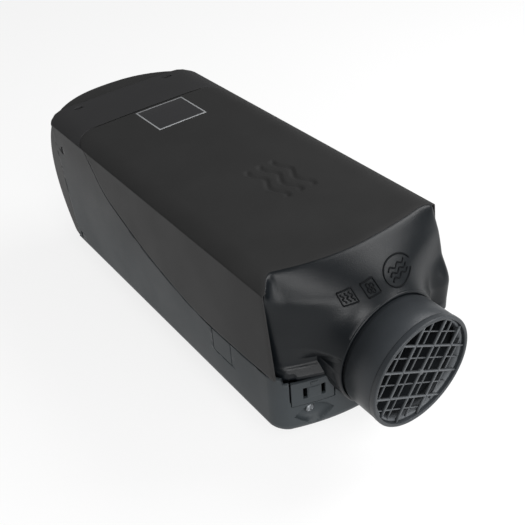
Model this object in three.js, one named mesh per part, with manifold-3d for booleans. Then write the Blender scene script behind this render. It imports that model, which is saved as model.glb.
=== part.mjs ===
// A diesel-fired air heater for a vehicle cabin: two moulded casing halves, an outlet hood with a round
// duct nozzle, and inside them a burner in a finned heat exchanger with one motor driving both fans.
// Millimetres, +Z up. Warm air leaves towards -Y, cold air comes in from +Y.
// The origin is the middle of the mounting face: the gasket under the heater, which the vehicle's floor meets.

import * as THREE from 'three';
import { mergeVertices } from 'three/addons/utils/BufferGeometryUtils.js';
import Module from 'manifold-3d';

const wasm = await Module();
wasm.setup();

// ---------------------------------------------------------------- driving dimensions

const fit = 0.3; // clearance where two pieces meet
const wall = 2.5; // moulded casing wall

// casing section, seen from the front
const baseHalfWidth = 71.5;
const topHalfWidth = 70;
const casingBottom = 8;
const casingTop = 124;
const crownRise = 2.5;
const bottomRound = 8;
const topRound = 3;

// casing in plan
const frontNose = -138.5; // lower casing's front wall at the centre line
const frontBow = 140; // radius that the whole front is bowed to
const frontRound = 12; // front corner radius
const rearSeam = 183; // where the intake grille begins, at the top
const rearRound = 18;
const rearApex = 214; // furthest point of the domed intake grille
const rearTip = 168; // where the dome's corners end
const rearNarrowing = 5; // how much the grille's flanks lean in

// parting of cover and lower casing: a sweep along each side, and a straight line across the top
const sweep = [
  [-126, 57.8],
  [-60, 55.2],
  [-20, 58],
  [28, 69],
  [58, 79.5],
  [88, 93],
  [104, 110],
  [115, 124],
];
const topSeam = 135;
const topSeamRound = 20;

// outlet end
const axisHeight = 62; // burner, motor, fans and nozzle share this axis
const nozzleOuter = 37.7; // 75 mm ducting slides over it
const nozzleWall = 1.7;
const nozzleFront = -175;
const nozzleBack = -119;
const lipOuter = 39.6;
const lipLength = 5;
const collarWall = 2.4;
const collarBack = -121;
const hoodHalfWidth = 67;
const hoodTopBow = 175; // radius that the hood's top edge is bowed to in plan
const hoodTopEdge = -116.4; // front edge of the cover's top at the centre line
const ledgeTop = 60.5;
const ledgeNose = -141;
const ledgeBottom = 54;
const ledgeBow = 130; // the hood is bowed more at its ledge than at its top edge
const hoodRound = 5;
const hoodSkin = 2.4;
const frontWallTop = 53;
const wingTop = -113; // front edge of the cover's sides, at the top and at the sweep
const wingFoot = -125;

// outlet grille
const grilleTurn = THREE.MathUtils.degToRad(-31);
const grillePitch = 18.4;
const grilleBar = 1.5;
const grilleRecess = 1.2;
const grilleDepth = 5;
const grilleRing = 1.4;

// heat exchanger and burner
const exchangerFront = -96;
const exchangerBack = 50;
const coreOuter = 34;
const coreWall = 3.5;
const finCount = 14;
const finThickness = 2.2;
const finHalfWidth = 60;
const finHalfHeight = 45;
const finRound = 16;
const finBack = 40;
const footHalfWidth = 36;
const footFront = -52;
const footBack = 28;
const burnerOuter = 26;
const burnerWall = 1.2;
const burnerFront = -48;
const burnerFlange = 1.5;
const gasketThickness = 1;

// mounting face
const gasketHalfWidth = 45;
const gasketHalfLength = 62.5;
const mountGasket = 2;
const cornerRound = 9;
const studSpacingX = 68;
const studSpacingY = 105;
const studRadius = 3;
const studDrop = 22;
const stubOuter = 12;
const stubWall = 1.5;
const stubDrop = 27;
const exhaustY = -27;
const airInY = 42;
const fuelX = 27;
const fuelY = 24;
const fuelOuter = 2.5;

// blower, motor and fans
const blowerOuter = 42;
const blowerDepth = 24;
const blowerFloor = 4;
const impellerOuter = 33;
const impellerThickness = 8;
const impellerVanes = 12;
const runningGap = 1.2;
const coverThickness = 3;
const motorOuter = 21;
const motorWall = 1.2;
const motorLength = 42;
const shaftRadius = 2.5;
const bearingOuter = 8;
const bearingWidth = 6;
const magnetOuter = 13;
const fanOuter = 47.5;
const fanHub = 21;
const fanDepth = 25;
const fanBlades = 7;
const fanGap = 1.8;
const shroudWall = 1.6;
const outletFacets = 32; // round pieces of the outlet share their facets

// latches
const tongueLeft = -62;
const tongueRight = -35;
const tongueRoot = 33;
const tongueSlit = 0.8;
const barbDepth = 1.8;
const barbHeight = 8;
const barbWidth = 1.8;
const barbCentres = [-53.5, -42];
const barbZ = 43;
const skirtThickness = 2;
const tabFront = -72;
const tabBack = -51;
const tabRoot = 36;
const scoopX = -48;
const scoopZ = 23.5;
const scoopHalfWidth = 12.5;
const scoopHalfHeight = 8.5;
const scoopDepth = 5;
const screwHead = 3.4;

// ---------------------------------------------------------------- finishes

function finish(color, roughness, metalness) {
  return new THREE.MeshStandardMaterial({ color, roughness, metalness });
}
const blackPlastic = finish(0x2c2d2e, 0.6, 0);
const hoodPlastic = finish(0x2a2e32, 0.45, 0);
const fanPlastic = finish(0x3a3c3e, 0.55, 0);
const castAluminium = finish(0xa3a6a8, 0.55, 0.9);
const steel = finish(0x8d9093, 0.35, 1);
const rubber = finish(0x1b1b1b, 0.9, 0);
const boardGreen = finish(0x2d4a35, 0.6, 0);
const magnetGrey = finish(0x55585c, 0.5, 0.6);

const heater = new THREE.Group();
heater.name = 'diesel_air_heater';

// ---------------------------------------------------------------- solids

const xAxis = new THREE.Vector3(1, 0, 0);
const yAxis = new THREE.Vector3(0, 1, 0);
const zAxis = new THREE.Vector3(0, 0, 1);

// Closed geometry to a solid; a profile drawn the other way round is turned to face out.
function solid(geometry) {
  const bare = geometry.clone();
  bare.deleteAttribute('normal');
  bare.deleteAttribute('uv');
  const merged = mergeVertices(bare, 1e-4);
  const corners = merged.attributes.position;
  const faces = new Uint32Array(merged.index.array);
  const a = new THREE.Vector3();
  const b = new THREE.Vector3();
  const c = new THREE.Vector3();
  let volume = 0;
  for (let i = 0; i < faces.length; i += 3) {
    a.fromBufferAttribute(corners, faces[i]);
    b.fromBufferAttribute(corners, faces[i + 1]);
    c.fromBufferAttribute(corners, faces[i + 2]);
    volume += a.dot(b.cross(c));
  }
  if (volume < 0) {
    for (let i = 0; i < faces.length; i += 3) {
      [faces[i + 1], faces[i + 2]] = [faces[i + 2], faces[i + 1]];
    }
  }
  return new wasm.Manifold(
    new wasm.Mesh({ numProp: 3, vertProperties: corners.array, triVerts: faces }),
  );
}

// Adds a piece to the heater as a named mesh.
function add(name, piece, material) {
  const cut = piece.getMesh();
  const geometry = new THREE.BufferGeometry();
  geometry.setAttribute('position', new THREE.BufferAttribute(cut.vertProperties, 3));
  geometry.setIndex(new THREE.BufferAttribute(cut.triVerts, 1));
  geometry.computeVertexNormals();
  const mesh = new THREE.Mesh(geometry, material);
  mesh.name = name;
  heater.add(mesh);
}

function union(pieces) {
  return pieces.reduce((all, piece) => all.add(piece));
}

function box(x0, x1, y0, y1, z0, z1) {
  const geometry = new THREE.BoxGeometry(x1 - x0, y1 - y0, z1 - z0);
  geometry.translate((x0 + x1) / 2, (y0 + y1) / 2, (z0 + z1) / 2);
  return solid(geometry);
}

// A flat outline carried along X (drawn in Y, Z), along Y (drawn in X, Z) or along Z (drawn in X, Y).
function prism(outline, axis, from, to, curveSegments = 8) {
  const depth = to - from;
  const geometry = new THREE.ExtrudeGeometry(outline, { depth, bevelEnabled: false, curveSegments });
  const place = new THREE.Matrix4();
  if (axis === 'x') place.makeBasis(yAxis, zAxis, xAxis).setPosition(from, 0, 0);
  if (axis === 'y') place.makeBasis(xAxis, zAxis, yAxis.clone().negate()).setPosition(0, to, 0);
  if (axis === 'z') place.makeTranslation(0, 0, from);
  return solid(geometry.applyMatrix4(place));
}

function outlineOf(points) {
  return new THREE.Shape(points.map(([u, v]) => new THREE.Vector2(u, v)));
}

// A profile of [radius, y] turned about the heater's own axis.
function turned(profile, segments) {
  const points = profile.map(([radius, y]) => new THREE.Vector2(radius, y));
  points.push(points[0].clone());
  return solid(new THREE.LatheGeometry(points, segments).translate(0, 0, axisHeight));
}

function disc(radius, from, to, segments = 24) {
  return turned([[0, from], [radius, from], [radius, to], [0, to]], segments);
}

function ring(outer, inner, from, to, segments = 24) {
  return turned([[inner, from], [outer, from], [outer, to], [inner, to]], segments);
}

// An upright round bar between two heights.
function upright(radius, x, y, from, to, segments = 16) {
  const geometry = new THREE.CylinderGeometry(radius, radius, to - from, segments);
  geometry.rotateX(Math.PI / 2).translate(x, y, (from + to) / 2);
  return solid(geometry);
}

// A round bar between two points.
function rod(radius, from, to, segments = 16) {
  const along = to.clone().sub(from);
  const geometry = new THREE.CylinderGeometry(radius, radius, along.length(), segments);
  geometry.applyQuaternion(new THREE.Quaternion().setFromUnitVectors(yAxis, along.clone().normalize()));
  const middle = from.clone().add(to).multiplyScalar(0.5);
  return solid(geometry.translate(middle.x, middle.y, middle.z));
}

// A skin through rings of points, each ring with as many points as the last, closed by a face at each end.
function loft(rings, flatten) {
  const count = rings[0].length;
  const corners = rings.flat().flatMap((p) => [p.x, p.y, p.z]);
  const faces = [];
  for (let r = 0; r + 1 < rings.length; r += 1) {
    for (let i = 0; i < count; i += 1) {
      const j = (i + 1) % count;
      const a = r * count;
      const b = a + count;
      faces.push(a + i, a + j, b + j, a + i, b + j, b + i);
    }
  }
  const last = (rings.length - 1) * count;
  const closeEnd = (ring, first, towards) => {
    const contour = ring.map(flatten);
    const turn = THREE.ShapeUtils.isClockWise(contour) !== towards;
    for (const [a, b, c] of THREE.ShapeUtils.triangulateShape(contour, [])) {
      faces.push(first + a, first + (turn ? c : b), first + (turn ? b : c));
    }
  };
  closeEnd(rings[0], 0, true);
  closeEnd(rings.at(-1), last, false);
  const geometry = new THREE.BufferGeometry();
  geometry.setAttribute('position', new THREE.Float32BufferAttribute(corners, 3));
  geometry.setIndex(faces);
  return solid(geometry);
}

const inYZ = (p) => new THREE.Vector2(p.y, p.z);
const inXZ = (p) => new THREE.Vector2(p.x, p.z);

// Evenly stepped values, both ends included.
function steps(from, to, count) {
  return Array.from({ length: count + 1 }, (_, i) => from + ((to - from) * i) / count);
}

// The far corner of a quarter round: how far an edge has dropped back at x, on a width of twice half.
function roundedBack(x, half, radius) {
  const into = Math.min(Math.max(Math.abs(x) - (half - radius), 0), radius);
  return radius - Math.sqrt(radius * radius - into * into);
}

// Places across a width, close together in the round corners.
function across(half, radius, middle = 8, corner = 4) {
  const flat = steps(-(half - radius), half - radius, middle);
  const quarter = steps(0, Math.PI / 2, corner).slice(1);
  const right = quarter.map((angle) => half - radius + radius * Math.sin(angle));
  return [...right.map((x) => -x).reverse(), ...flat, ...right];
}

const bow = (x) => (x * x) / (2 * frontBow);
const crownAt = (x) => crownRise * (1 - (x / topHalfWidth) ** 2);

// Half width of the casing's drafted side at a height.
const sideAt = (z) => THREE.MathUtils.mapLinear(z, casingBottom + bottomRound, casingTop - topRound,
  baseHalfWidth, topHalfWidth);

// ---------------------------------------------------------------- casing envelope

// The casing seen from the front, drawn in by a margin.
function section(inset) {
  const bottom = casingBottom + inset;
  const top = casingTop - inset;
  const foot = baseHalfWidth - inset;
  const head = topHalfWidth - inset;
  const footRound = Math.max(bottomRound - inset, 1);
  const headRound = Math.max(topRound - inset, 0.6);
  const shape = new THREE.Shape();
  shape.moveTo(-foot + footRound, bottom);
  shape.lineTo(foot - footRound, bottom);
  shape.absarc(foot - footRound, bottom + footRound, footRound, -Math.PI / 2, 0, false);
  shape.lineTo(head, top - headRound);
  shape.absarc(head - headRound, top - headRound, headRound, 0, Math.PI / 2, false);
  shape.quadraticCurveTo(0, top + 2 * crownRise, -(head - headRound), top);
  shape.absarc(-(head - headRound), top - headRound, headRound, Math.PI / 2, Math.PI, false);
  shape.lineTo(-foot, bottom + footRound);
  shape.absarc(-foot + footRound, bottom + footRound, footRound, Math.PI, Math.PI * 1.5, false);
  return shape;
}

// The lower casing in plan: a bowed front with round corners, straight sides and round rear corners.
function plan(inset, rear) {
  const half = baseHalfWidth - inset;
  const front = across(half, frontRound - inset).map((x) => [
    x,
    frontNose + inset + bow(x) + roundedBack(x, half, frontRound - inset),
  ]);
  const back = across(half, rearRound, 1).map((x) => [-x, rear - roundedBack(x, half, rearRound)]);
  return outlineOf([...front, ...back]);
}

const rear = { from: -200, to: 260, low: -40, high: 200 };

const sweepLine = new THREE.SplineCurve(sweep.map(([y, z]) => new THREE.Vector2(y, z))).getPoints(18);

// Everything that the cover's side of the parting line takes, held off that line by a margin.
function coverSpace(margin) {
  const edge = sweepLine.map((p, i) => {
    const before = sweepLine[Math.max(i - 1, 0)];
    const after = sweepLine[Math.min(i + 1, sweepLine.length - 1)];
    const along = after.clone().sub(before).normalize();
    return [p.x - along.y * margin, p.y + along.x * margin];
  });
  const [firstY, firstZ] = edge[0];
  const [lastY] = edge.at(-1);
  const sides = outlineOf([
    [rear.from, firstZ],
    [firstY, firstZ],
    ...edge.slice(1),
    [lastY, rear.high],
    [rear.from, rear.high],
  ]);
  const half = topHalfWidth;
  const seam = across(half, topSeamRound, 1).map((x) => [
    -x,
    topSeam - margin - roundedBack(x, half, topSeamRound),
  ]);
  const top = outlineOf([[-half - 10, rear.from], [half + 10, rear.from], [half + 10, seam[0][1]],
    ...seam, [-half - 10, seam[0][1]]]);
  const roof = casingTop - topRound - wall - 2;
  return prism(sides, 'x', -100, 100).add(prism(top, 'z', roof, rear.high));
}

const outside = prism(section(0), 'y', rear.from, rear.to);
const inside = prism(section(wall), 'y', rear.from, rear.to);
const outsidePlan = prism(plan(0, rearSeam), 'z', rear.low, rear.high);
const insidePlan = prism(plan(wall, rear.to), 'z', rear.low, rear.high);
const shell = outside.intersect(outsidePlan).subtract(inside.intersect(insidePlan));

// ---------------------------------------------------------------- lower casing

const collarOuter = nozzleOuter + fit + collarWall;
const padOpening = { halfWidth: footHalfWidth + 1, front: footFront - 1, back: 56 };

// A strip of the bowed front wall between two places across, held off its outer face by two margins.
function frontStrip(x0, x1, z0, z1, outer, inner) {
  const places = steps(x0, x1, 4);
  const face = (margin) => (x) => [
    x,
    frontNose + margin + bow(x) + roundedBack(x, baseHalfWidth - margin, frontRound - margin),
  ];
  const strip = outlineOf([...places.map(face(outer)), ...places.map(face(inner)).reverse()]);
  return prism(strip, 'z', z0, z1);
}

const scoop = solid(
  new THREE.SphereGeometry(1, 20, 10)
    .scale(scoopHalfWidth, scoopDepth, scoopHalfHeight)
    .translate(scoopX, frontNose + bow(scoopX), scoopZ),
);
const scoopFloor = frontNose + bow(scoopX) + scoopDepth;
const screwAt = new THREE.Vector3(scoopX, scoopFloor, scoopZ);
const screwBossEnd = scoopFloor + 8;

// The upright slits and the gap that free a flexing tongue from the wall around it.
const tongueGap = box(tongueLeft - tongueSlit, tongueRight + tongueSlit, frontNose - 5, frontNose + 25,
  tongueRoot, rear.high);
const aboveFrontWall = box(-hoodHalfWidth, hoodHalfWidth, rear.from, frontNose + 40, frontWallTop, rear.high);
const tabLeftGap = box(-100, -50, tabFront - tongueSlit, tabBack + tongueSlit, tabRoot, rear.high);
const tabRightGap = box(50, 100, tabFront - tongueSlit, tabBack + tongueSlit, tabRoot, rear.high);

const hookWindows = [];
const hookTop = { x: 43, halfWidth: 3.5, y: 175, halfLength: 1.3 };
const hookSide = { z: [20, 103], halfHeight: 3, y: 160, halfLength: 1.3 };
for (const side of [-1, 1]) {
  const x = side * hookTop.x;
  hookWindows.push(box(x - hookTop.halfWidth, x + hookTop.halfWidth, hookTop.y - hookTop.halfLength,
    hookTop.y + hookTop.halfLength, casingTop - 8, rear.high));
  for (const z of hookSide.z) {
    const [x0, x1] = side < 0 ? [-100, -60] : [60, 100];
    hookWindows.push(box(x0, x1, hookSide.y - hookSide.halfLength, hookSide.y + hookSide.halfLength,
      z - hookSide.halfHeight, z + hookSide.halfHeight));
  }
}

const grommetY = 108;
const grommetZ = 40;
const grommetHole = 9;
const grommetBore = rod(grommetHole, new THREE.Vector3(baseHalfWidth - 12, grommetY, grommetZ),
  new THREE.Vector3(baseHalfWidth + 8, grommetY, grommetZ));

const shroudFront = 126;
const shroudPlate = 3;
const postX = baseHalfWidth - 11.5; // posts that the fan shroud stands against
const fanShroudInner = fanOuter + fanGap;

const lowerCasing = union([
  shell.subtract(coverSpace(0)),
  box(scoopX - 9, scoopX + 9, scoopFloor - 2.5, screwBossEnd, casingBottom + 1, scoopZ + 8),
  ...[-1, 1].map((side) => box(side * postX - 3, side * postX + 3, shroudFront - 5, shroudFront - fit,
    casingBottom + 1, 40)),
])
  .subtract(aboveFrontWall)
  .subtract(disc(collarOuter + 0.4, frontNose - 20, frontNose + 20, outletFacets))
  .subtract(box(-padOpening.halfWidth, padOpening.halfWidth, padOpening.front, padOpening.back, 0, 20))
  .subtract(tongueGap)
  .subtract(tabLeftGap)
  .subtract(tabRightGap)
  .subtract(scoop)
  .subtract(rod(screwHead + fit, screwAt.clone().setY(scoopFloor - 4), screwAt))
  .subtract(rod(2.2, screwAt.clone().setY(scoopFloor - 4), screwAt.clone().setY(screwBossEnd + 5)))
  .subtract(grommetBore)
  .subtract(union(hookWindows));
add('lower_casing', lowerCasing, blackPlastic);

// ---------------------------------------------------------------- latches and their screw

const slotWide = barbWidth + 0.8;
const slotTall = barbHeight + 1.6;
const tongueFace = frontStrip(tongueLeft, tongueRight, tongueRoot + fit, frontWallTop, 0, wall);
const tongueSlots = union(barbCentres.map((x) => box(x - slotWide / 2, x + slotWide / 2,
  frontNose - 5, frontNose + 25, barbZ - slotTall / 2, barbZ + slotTall / 2)));
add('front_latch', tongueFace.subtract(tongueSlots)
  .subtract(disc(collarOuter + 0.4, frontNose - 20, frontNose + 20, outletFacets)), blackPlastic);

const tabTopZ = sweepLine.reduce((z, p) => (p.x < tabFront ? p.y : z), sweepLine[0].y) - 0.8;
const tabBarb = 1.6;
for (const [name, side] of [['left_release_tab', -1], ['right_release_tab', 1]]) {
  const spread = side < 0 ? [-100, -50] : [50, 100];
  const plate = outside.subtract(inside)
    .intersect(box(...spread, tabFront, tabBack, tabRoot + fit, tabTopZ));
  const innerX = sideAt(tabTopZ) - wall;
  const [nearX, farX] = [innerX + 1, innerX - tabBarb];
  const barbX = side < 0 ? [-nearX, -farX] : [farX, nearX];
  const barb = box(...barbX, (tabFront + tabBack) / 2 - 5, (tabFront + tabBack) / 2 + 5,
    tabTopZ - 9, tabTopZ - 5);
  add(name, plate.add(barb), blackPlastic);
}

const screwShank = rod(1.9, screwAt.clone().setY(scoopFloor - 1), screwAt.clone().setY(screwBossEnd - 1), 16);
const screwCap = solid(new THREE.SphereGeometry(screwHead, 12, 6).scale(1, 0.7, 1)
  .translate(scoopX, scoopFloor - fit, scoopZ))
  .subtract(box(-70, -30, scoopFloor - fit, scoopFloor + 10, 0, 50));
const screwSlot = [0, Math.PI / 2].map((angle) => solid(new THREE.BoxGeometry(4.4, 3, 0.9).rotateY(angle)
  .translate(scoopX, scoopFloor - fit - screwHead * 0.7, scoopZ)));
add('front_screw', screwShank.add(screwCap).subtract(union(screwSlot)), steel);

// ---------------------------------------------------------------- upper cover

const wing = outlineOf([
  [rear.from, rear.low],
  [wingFoot, rear.low],
  [wingFoot, sweep[0][1]],
  [wingTop, casingTop],
  [wingTop, rear.high],
  [rear.from, rear.high],
]);
const wingSpace = prism(wing, 'x', -100, 100);
const hoodHalf = hoodHalfWidth - fit;
const crownFront = across(hoodHalf, hoodRound, 6, 2).map((x) => [
  x * (1 - fit / hoodHalf),
  hoodTopEdge + (x * x) / (2 * hoodTopBow) + roundedBack(x, hoodHalf, hoodRound),
]);
const crownEnd = crownFront[0][1];
const crownSpace = prism(outlineOf([[-hoodHalfWidth, crownEnd], ...crownFront, [hoodHalfWidth, crownEnd],
  [hoodHalfWidth, rear.from], [-hoodHalfWidth, rear.from]]), 'z', rear.low, rear.high);

const ribGap = 36;
const coverRibs = [-1, 0, 1].map((place) => box(-58, 58, place * ribGap * 2 - 1, place * ribGap * 2 + 1,
  casingTop - wall - 4, casingTop));
const coverShell = outside.subtract(inside.subtract(union(coverRibs)));
const skirtZ = 38;
const skirts = [-1, 1].map((side) => {
  const outerX = sideAt(tabTopZ) - wall - fit;
  const spread = side < 0 ? [-outerX, -outerX + skirtThickness] : [outerX - skirtThickness, outerX];
  const root = [outerX + 1, outerX - skirtThickness - 2.2];
  const reach = side < 0 ? [-root[0], -root[1]] : [root[1], root[0]];
  const middle = (tabFront + tabBack) / 2;
  return box(...spread, middle - 9, middle + 9, skirtZ, tabTopZ + 6)
    .add(box(...reach, middle - 9, middle + 9, tabTopZ + 2.5, tabTopZ + 6))
    .subtract(box(-100, 100, middle - 5.6, middle + 5.6, tabTopZ - 9.6, tabTopZ - 4.4));
});
const tongueHalf = 8;
const tongues = [-40, 0, 40].flatMap((x) => {
  const under = casingTop - wall + crownAt(Math.abs(x) + tongueHalf) - fit;
  const [x0, x1] = [x - tongueHalf, x + tongueHalf];
  return [
    box(x0, x1, topSeam - 8, topSeam + 6, under - 1.6, under),
    box(x0, x1, topSeam - 8, topSeam - 1, under - 1.6, casingTop - wall + crownAt(x) + 1),
  ];
});
const upperCover = coverShell.intersect(coverSpace(fit))
  .subtract(wingSpace)
  .subtract(crownSpace)
  .add(union(tongues))
  .add(union(skirts));
add('upper_cover', upperCover, blackPlastic);

// ---------------------------------------------------------------- outlet hood

const hoodTop = casingTop - 0.6;

// The hood's face down the centre line, from the cover's edge over the hollow to the ledge.
const face = [
  [hoodTopEdge - fit, hoodTop],
  [hoodTopEdge - 2.8, hoodTop - 0.8],
  [hoodTopEdge - 5.6, hoodTop - 5],
  [-125.3, 111.5],
  [-129.4, 101],
  [-132.6, 88],
  [-134.4, 76],
  [-135.2, 66],
  [-136.4, ledgeTop + 1.6],
  [-138.6, ledgeTop],
  [ledgeNose, ledgeTop - 1.8],
  [ledgeNose, ledgeBottom],
];

// Moves a polyline to its right by a distance.
function moved(line, distance) {
  return line.map(([u, v], i) => {
    const [pu, pv] = line[Math.max(i - 1, 0)];
    const [nu, nv] = line[Math.min(i + 1, line.length - 1)];
    const length = Math.hypot(nu - pu, nv - pv);
    return [u - ((nv - pv) / length) * distance, v + ((nu - pu) / length) * distance];
  });
}

// A place on the hood's centre line, carried out to x: swept back by the bow and lifted by the crown.
function onHood(x, [y, z]) {
  const down = THREE.MathUtils.clamp((casingTop - 6 - z) / (casingTop - 6 - ledgeBottom), 0, 1);
  const bend = THREE.MathUtils.lerp(1 / hoodTopBow, 1 / ledgeBow, down);
  const lift = crownAt(x) * (1 - down);
  return new THREE.Vector3(x, y + (bend * x * x) / 2 + roundedBack(x, hoodHalf, hoodRound), z + lift);
}

function hoodLoft(profile, places) {
  return loft(places.map((x) => profile.map((p) => onHood(x, p))), inYZ);
}

const hoodPlaces = across(hoodHalf, hoodRound, 6, 2);
const faceBack = moved(face, hoodSkin);
faceBack[0][0] = face[0][0]; // upright behind the cover's edge
const tuck = casingTop - wall - 0.6;
const topTongue = [
  [hoodTopEdge + 8, tuck - 1.8],
  [hoodTopEdge + 8, tuck],
  [hoodTopEdge - 2, tuck],
  [hoodTopEdge - 2, tuck - 1.8],
];
const sideReturn = face.slice(3);
const sideProfile = [...sideReturn, ...sideReturn.map(([y, z]) => [y + 9, z]).reverse()];
const noseOut = (x0, x1, margin) => steps(x0, x1, 4).map((x) => [x, frontNose - margin + bow(x)]);
const collarFace = outlineOf([...noseOut(-60, 60, 1), [60, collarBack], [-60, collarBack]]);
const lowerCollar = ring(collarOuter, nozzleOuter + fit, frontNose - 5, collarBack, outletFacets)
  .intersect(prism(collarFace, 'z', rear.low, ledgeBottom + 3));
const proud = moved(face, -1.2);
const upperCollar = ring(collarOuter, nozzleOuter + fit, frontNose - 5, collarBack, outletFacets)
  .intersect(hoodLoft([...proud, [collarBack + 10, ledgeBottom], [collarBack + 10, hoodTop]],
    steps(-50, 50, 4)));
const skirtMargin = wall + 0.5;
const barbs = barbCentres.map((x) => box(x - barbWidth / 2, x + barbWidth / 2,
  frontNose + bow(x) + skirtMargin - barbDepth, frontNose + bow(x) + skirtMargin + 1,
  barbZ - barbHeight / 2, barbZ + barbHeight / 2));
const skirt = frontStrip(tongueLeft + 1, tongueRight - 1, tongueRoot + 3, ledgeTop - 1,
  skirtMargin, skirtMargin + skirtThickness);
const outletHood = hoodLoft([...face, ...faceBack.reverse()], hoodPlaces)
  .add(hoodLoft(topTongue, steps(-hoodHalf + 8, hoodHalf - 8, 4)))
  .add(hoodLoft(sideProfile, steps(-hoodHalf, -hoodHalf + 2.2, 2)))
  .add(hoodLoft(sideProfile, steps(hoodHalf - 2.2, hoodHalf, 2)))
  .subtract(disc(collarOuter - 1, frontNose - 20, 0, outletFacets))
  .add(upperCollar)
  .add(lowerCollar)
  .add(skirt.add(union(barbs)))
  .subtract(disc(nozzleOuter + fit, frontNose - 20, 0, outletFacets));
add('outlet_hood', outletHood, hoodPlastic);

// ---------------------------------------------------------------- nozzle and its grille

const nozzleInner = nozzleOuter - nozzleWall;
const lip = lipOuter - nozzleOuter;
const nozzleProfile = [
  [nozzleInner, nozzleFront + 1],
  [nozzleInner + 0.6, nozzleFront],
  [lipOuter - 1, nozzleFront],
  [lipOuter, nozzleFront + 1.2],
  [lipOuter, nozzleFront + lipLength - lip],
  [nozzleOuter, nozzleFront + lipLength],
  [nozzleOuter, nozzleBack],
  [nozzleInner, nozzleBack],
];
const bayonetLugs = [0, 1].map((i) => {
  const angle = grilleTurn + i * Math.PI;
  const lug = new THREE.BoxGeometry(12, 3.4, 3).translate(0, 0, nozzleOuter + 0.6);
  return solid(lug.rotateY(angle).translate(0, nozzleBack - 0.4 + 0.05, axisHeight));
});
const lugSpace = ring(nozzleOuter + 2.2, nozzleInner + 0.5, collarBack + fit, nozzleBack, outletFacets);
add('outlet_nozzle', turned(nozzleProfile, outletFacets).add(union(bayonetLugs).intersect(lugSpace)), hoodPlastic);

// Bars of the grille, all turned with the nozzle's bayonet.
const grilleFront = nozzleFront + grilleRecess;
function grilleBars(places, thick, from, to) {
  return places.flatMap((place) => [
    new THREE.BoxGeometry(2 * nozzleInner, to - from, thick).translate(0, 0, place),
    new THREE.BoxGeometry(thick, to - from, 2 * nozzleInner).translate(place, 0, 0),
  ]).map((bar) => solid(bar.rotateY(-grilleTurn).translate(0, (from + to) / 2, axisHeight)));
}
const mainPlaces = [-1, 0, 1].map((i) => i * grillePitch);
const rearPlaces = [-0.5, 0.5].map((i) => i * grillePitch);
const grilleOuter = nozzleInner - fit;
const grilleBody = union([
  ...grilleBars(mainPlaces, grilleBar, grilleFront, grilleFront + grilleDepth),
  ...grilleBars(rearPlaces, grilleBar * 0.7, grilleFront + grilleDepth * 0.55, grilleFront + grilleDepth),
]).intersect(disc(grilleOuter, grilleFront - 1, grilleFront + grilleDepth + 1, outletFacets));
add('outlet_grille', grilleBody
  .add(ring(grilleOuter, grilleOuter - grilleRing, grilleFront + 1, grilleFront + grilleDepth + 4, outletFacets)), hoodPlastic);

// ---------------------------------------------------------------- rear intake grille

const intakeWall = 2.2;
const half = { x: topHalfWidth, z: (casingTop - casingBottom) / 2, middle: (casingTop + casingBottom) / 2 };

// The dome over the intake: highest in the middle, less at the edges, least at the four corners.
function dome(x, z) {
  const u = Math.min(Math.abs(x / half.x), 1.15);
  const v = Math.min(Math.abs((z - half.middle) / half.z), 1.15);
  const acrossTop = 0.85 * (1 - u ** 2.5);
  const downSide = 0.6 * (1 - v ** 2);
  const height = rearApex - rearTip;
  return rearTip + height * (1 - (1 - acrossTop) * (1 - downSide)) + 1;
}

// Everything in front of the dome, held in by a margin.
function behindDome(margin) {
  const xs = steps(-half.x - 8, half.x + 8, 8);
  const zs = steps(half.middle - half.z - 8, half.middle + half.z + 8, 6);
  const rings = xs.map((x) => {
    const skin = zs.map((z) => new THREE.Vector3(x, dome(x, z) - margin, z));
    return [new THREE.Vector3(x, 100, zs[0]), ...skin, new THREE.Vector3(x, 100, zs.at(-1))];
  });
  return loft(rings, inYZ);
}

// The casing's section running back, its flanks leaning in beyond the seam.
function flanks(inset) {
  const stations = [[120, 0], [rearTip - 4, 0], [rearApex + 6, rearNarrowing]];
  const rings = stations.map(([y, lean]) => section(inset + lean).getPoints(4)
    .slice(0, -1).map((p) => new THREE.Vector3(p.x, y, p.y)));
  return loft(rings, inXZ);
}

const beforeSeam = prism(plan(-fit, rearSeam + fit), 'z', rear.low, rear.high);
const beforeSeamWide = beforeSeam.add(box(-100, 100, -150, rearSeam + fit - rearRound, -40, 200));
const intakeSkin = flanks(0).intersect(behindDome(0))
  .subtract(flanks(intakeWall).intersect(behindDome(intakeWall)))
  .subtract(beforeSeamWide);
const slatPitch = 12;
const slatGap = 7;
const slatRows = 7;
const slatWidths = [[-54, -20], [-16.5, 16.5], [20, 54]];
const slats = steps(0, slatRows - 1, slatRows - 1).flatMap((row) => slatWidths.map(([x0, x1]) => {
  const z = axisHeight + 4 + (row - (slatRows - 1) / 2) * slatPitch;
  const rim = Math.abs(row - (slatRows - 1) / 2) > slatRows / 2 - 1 ? 8 : 0;
  return box(x0 < -20 ? x0 + rim : x0, x1 > 20 ? x1 - rim : x1, rearTip, rearApex + 20,
    z - slatGap / 2, z + slatGap / 2);
}));

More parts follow.
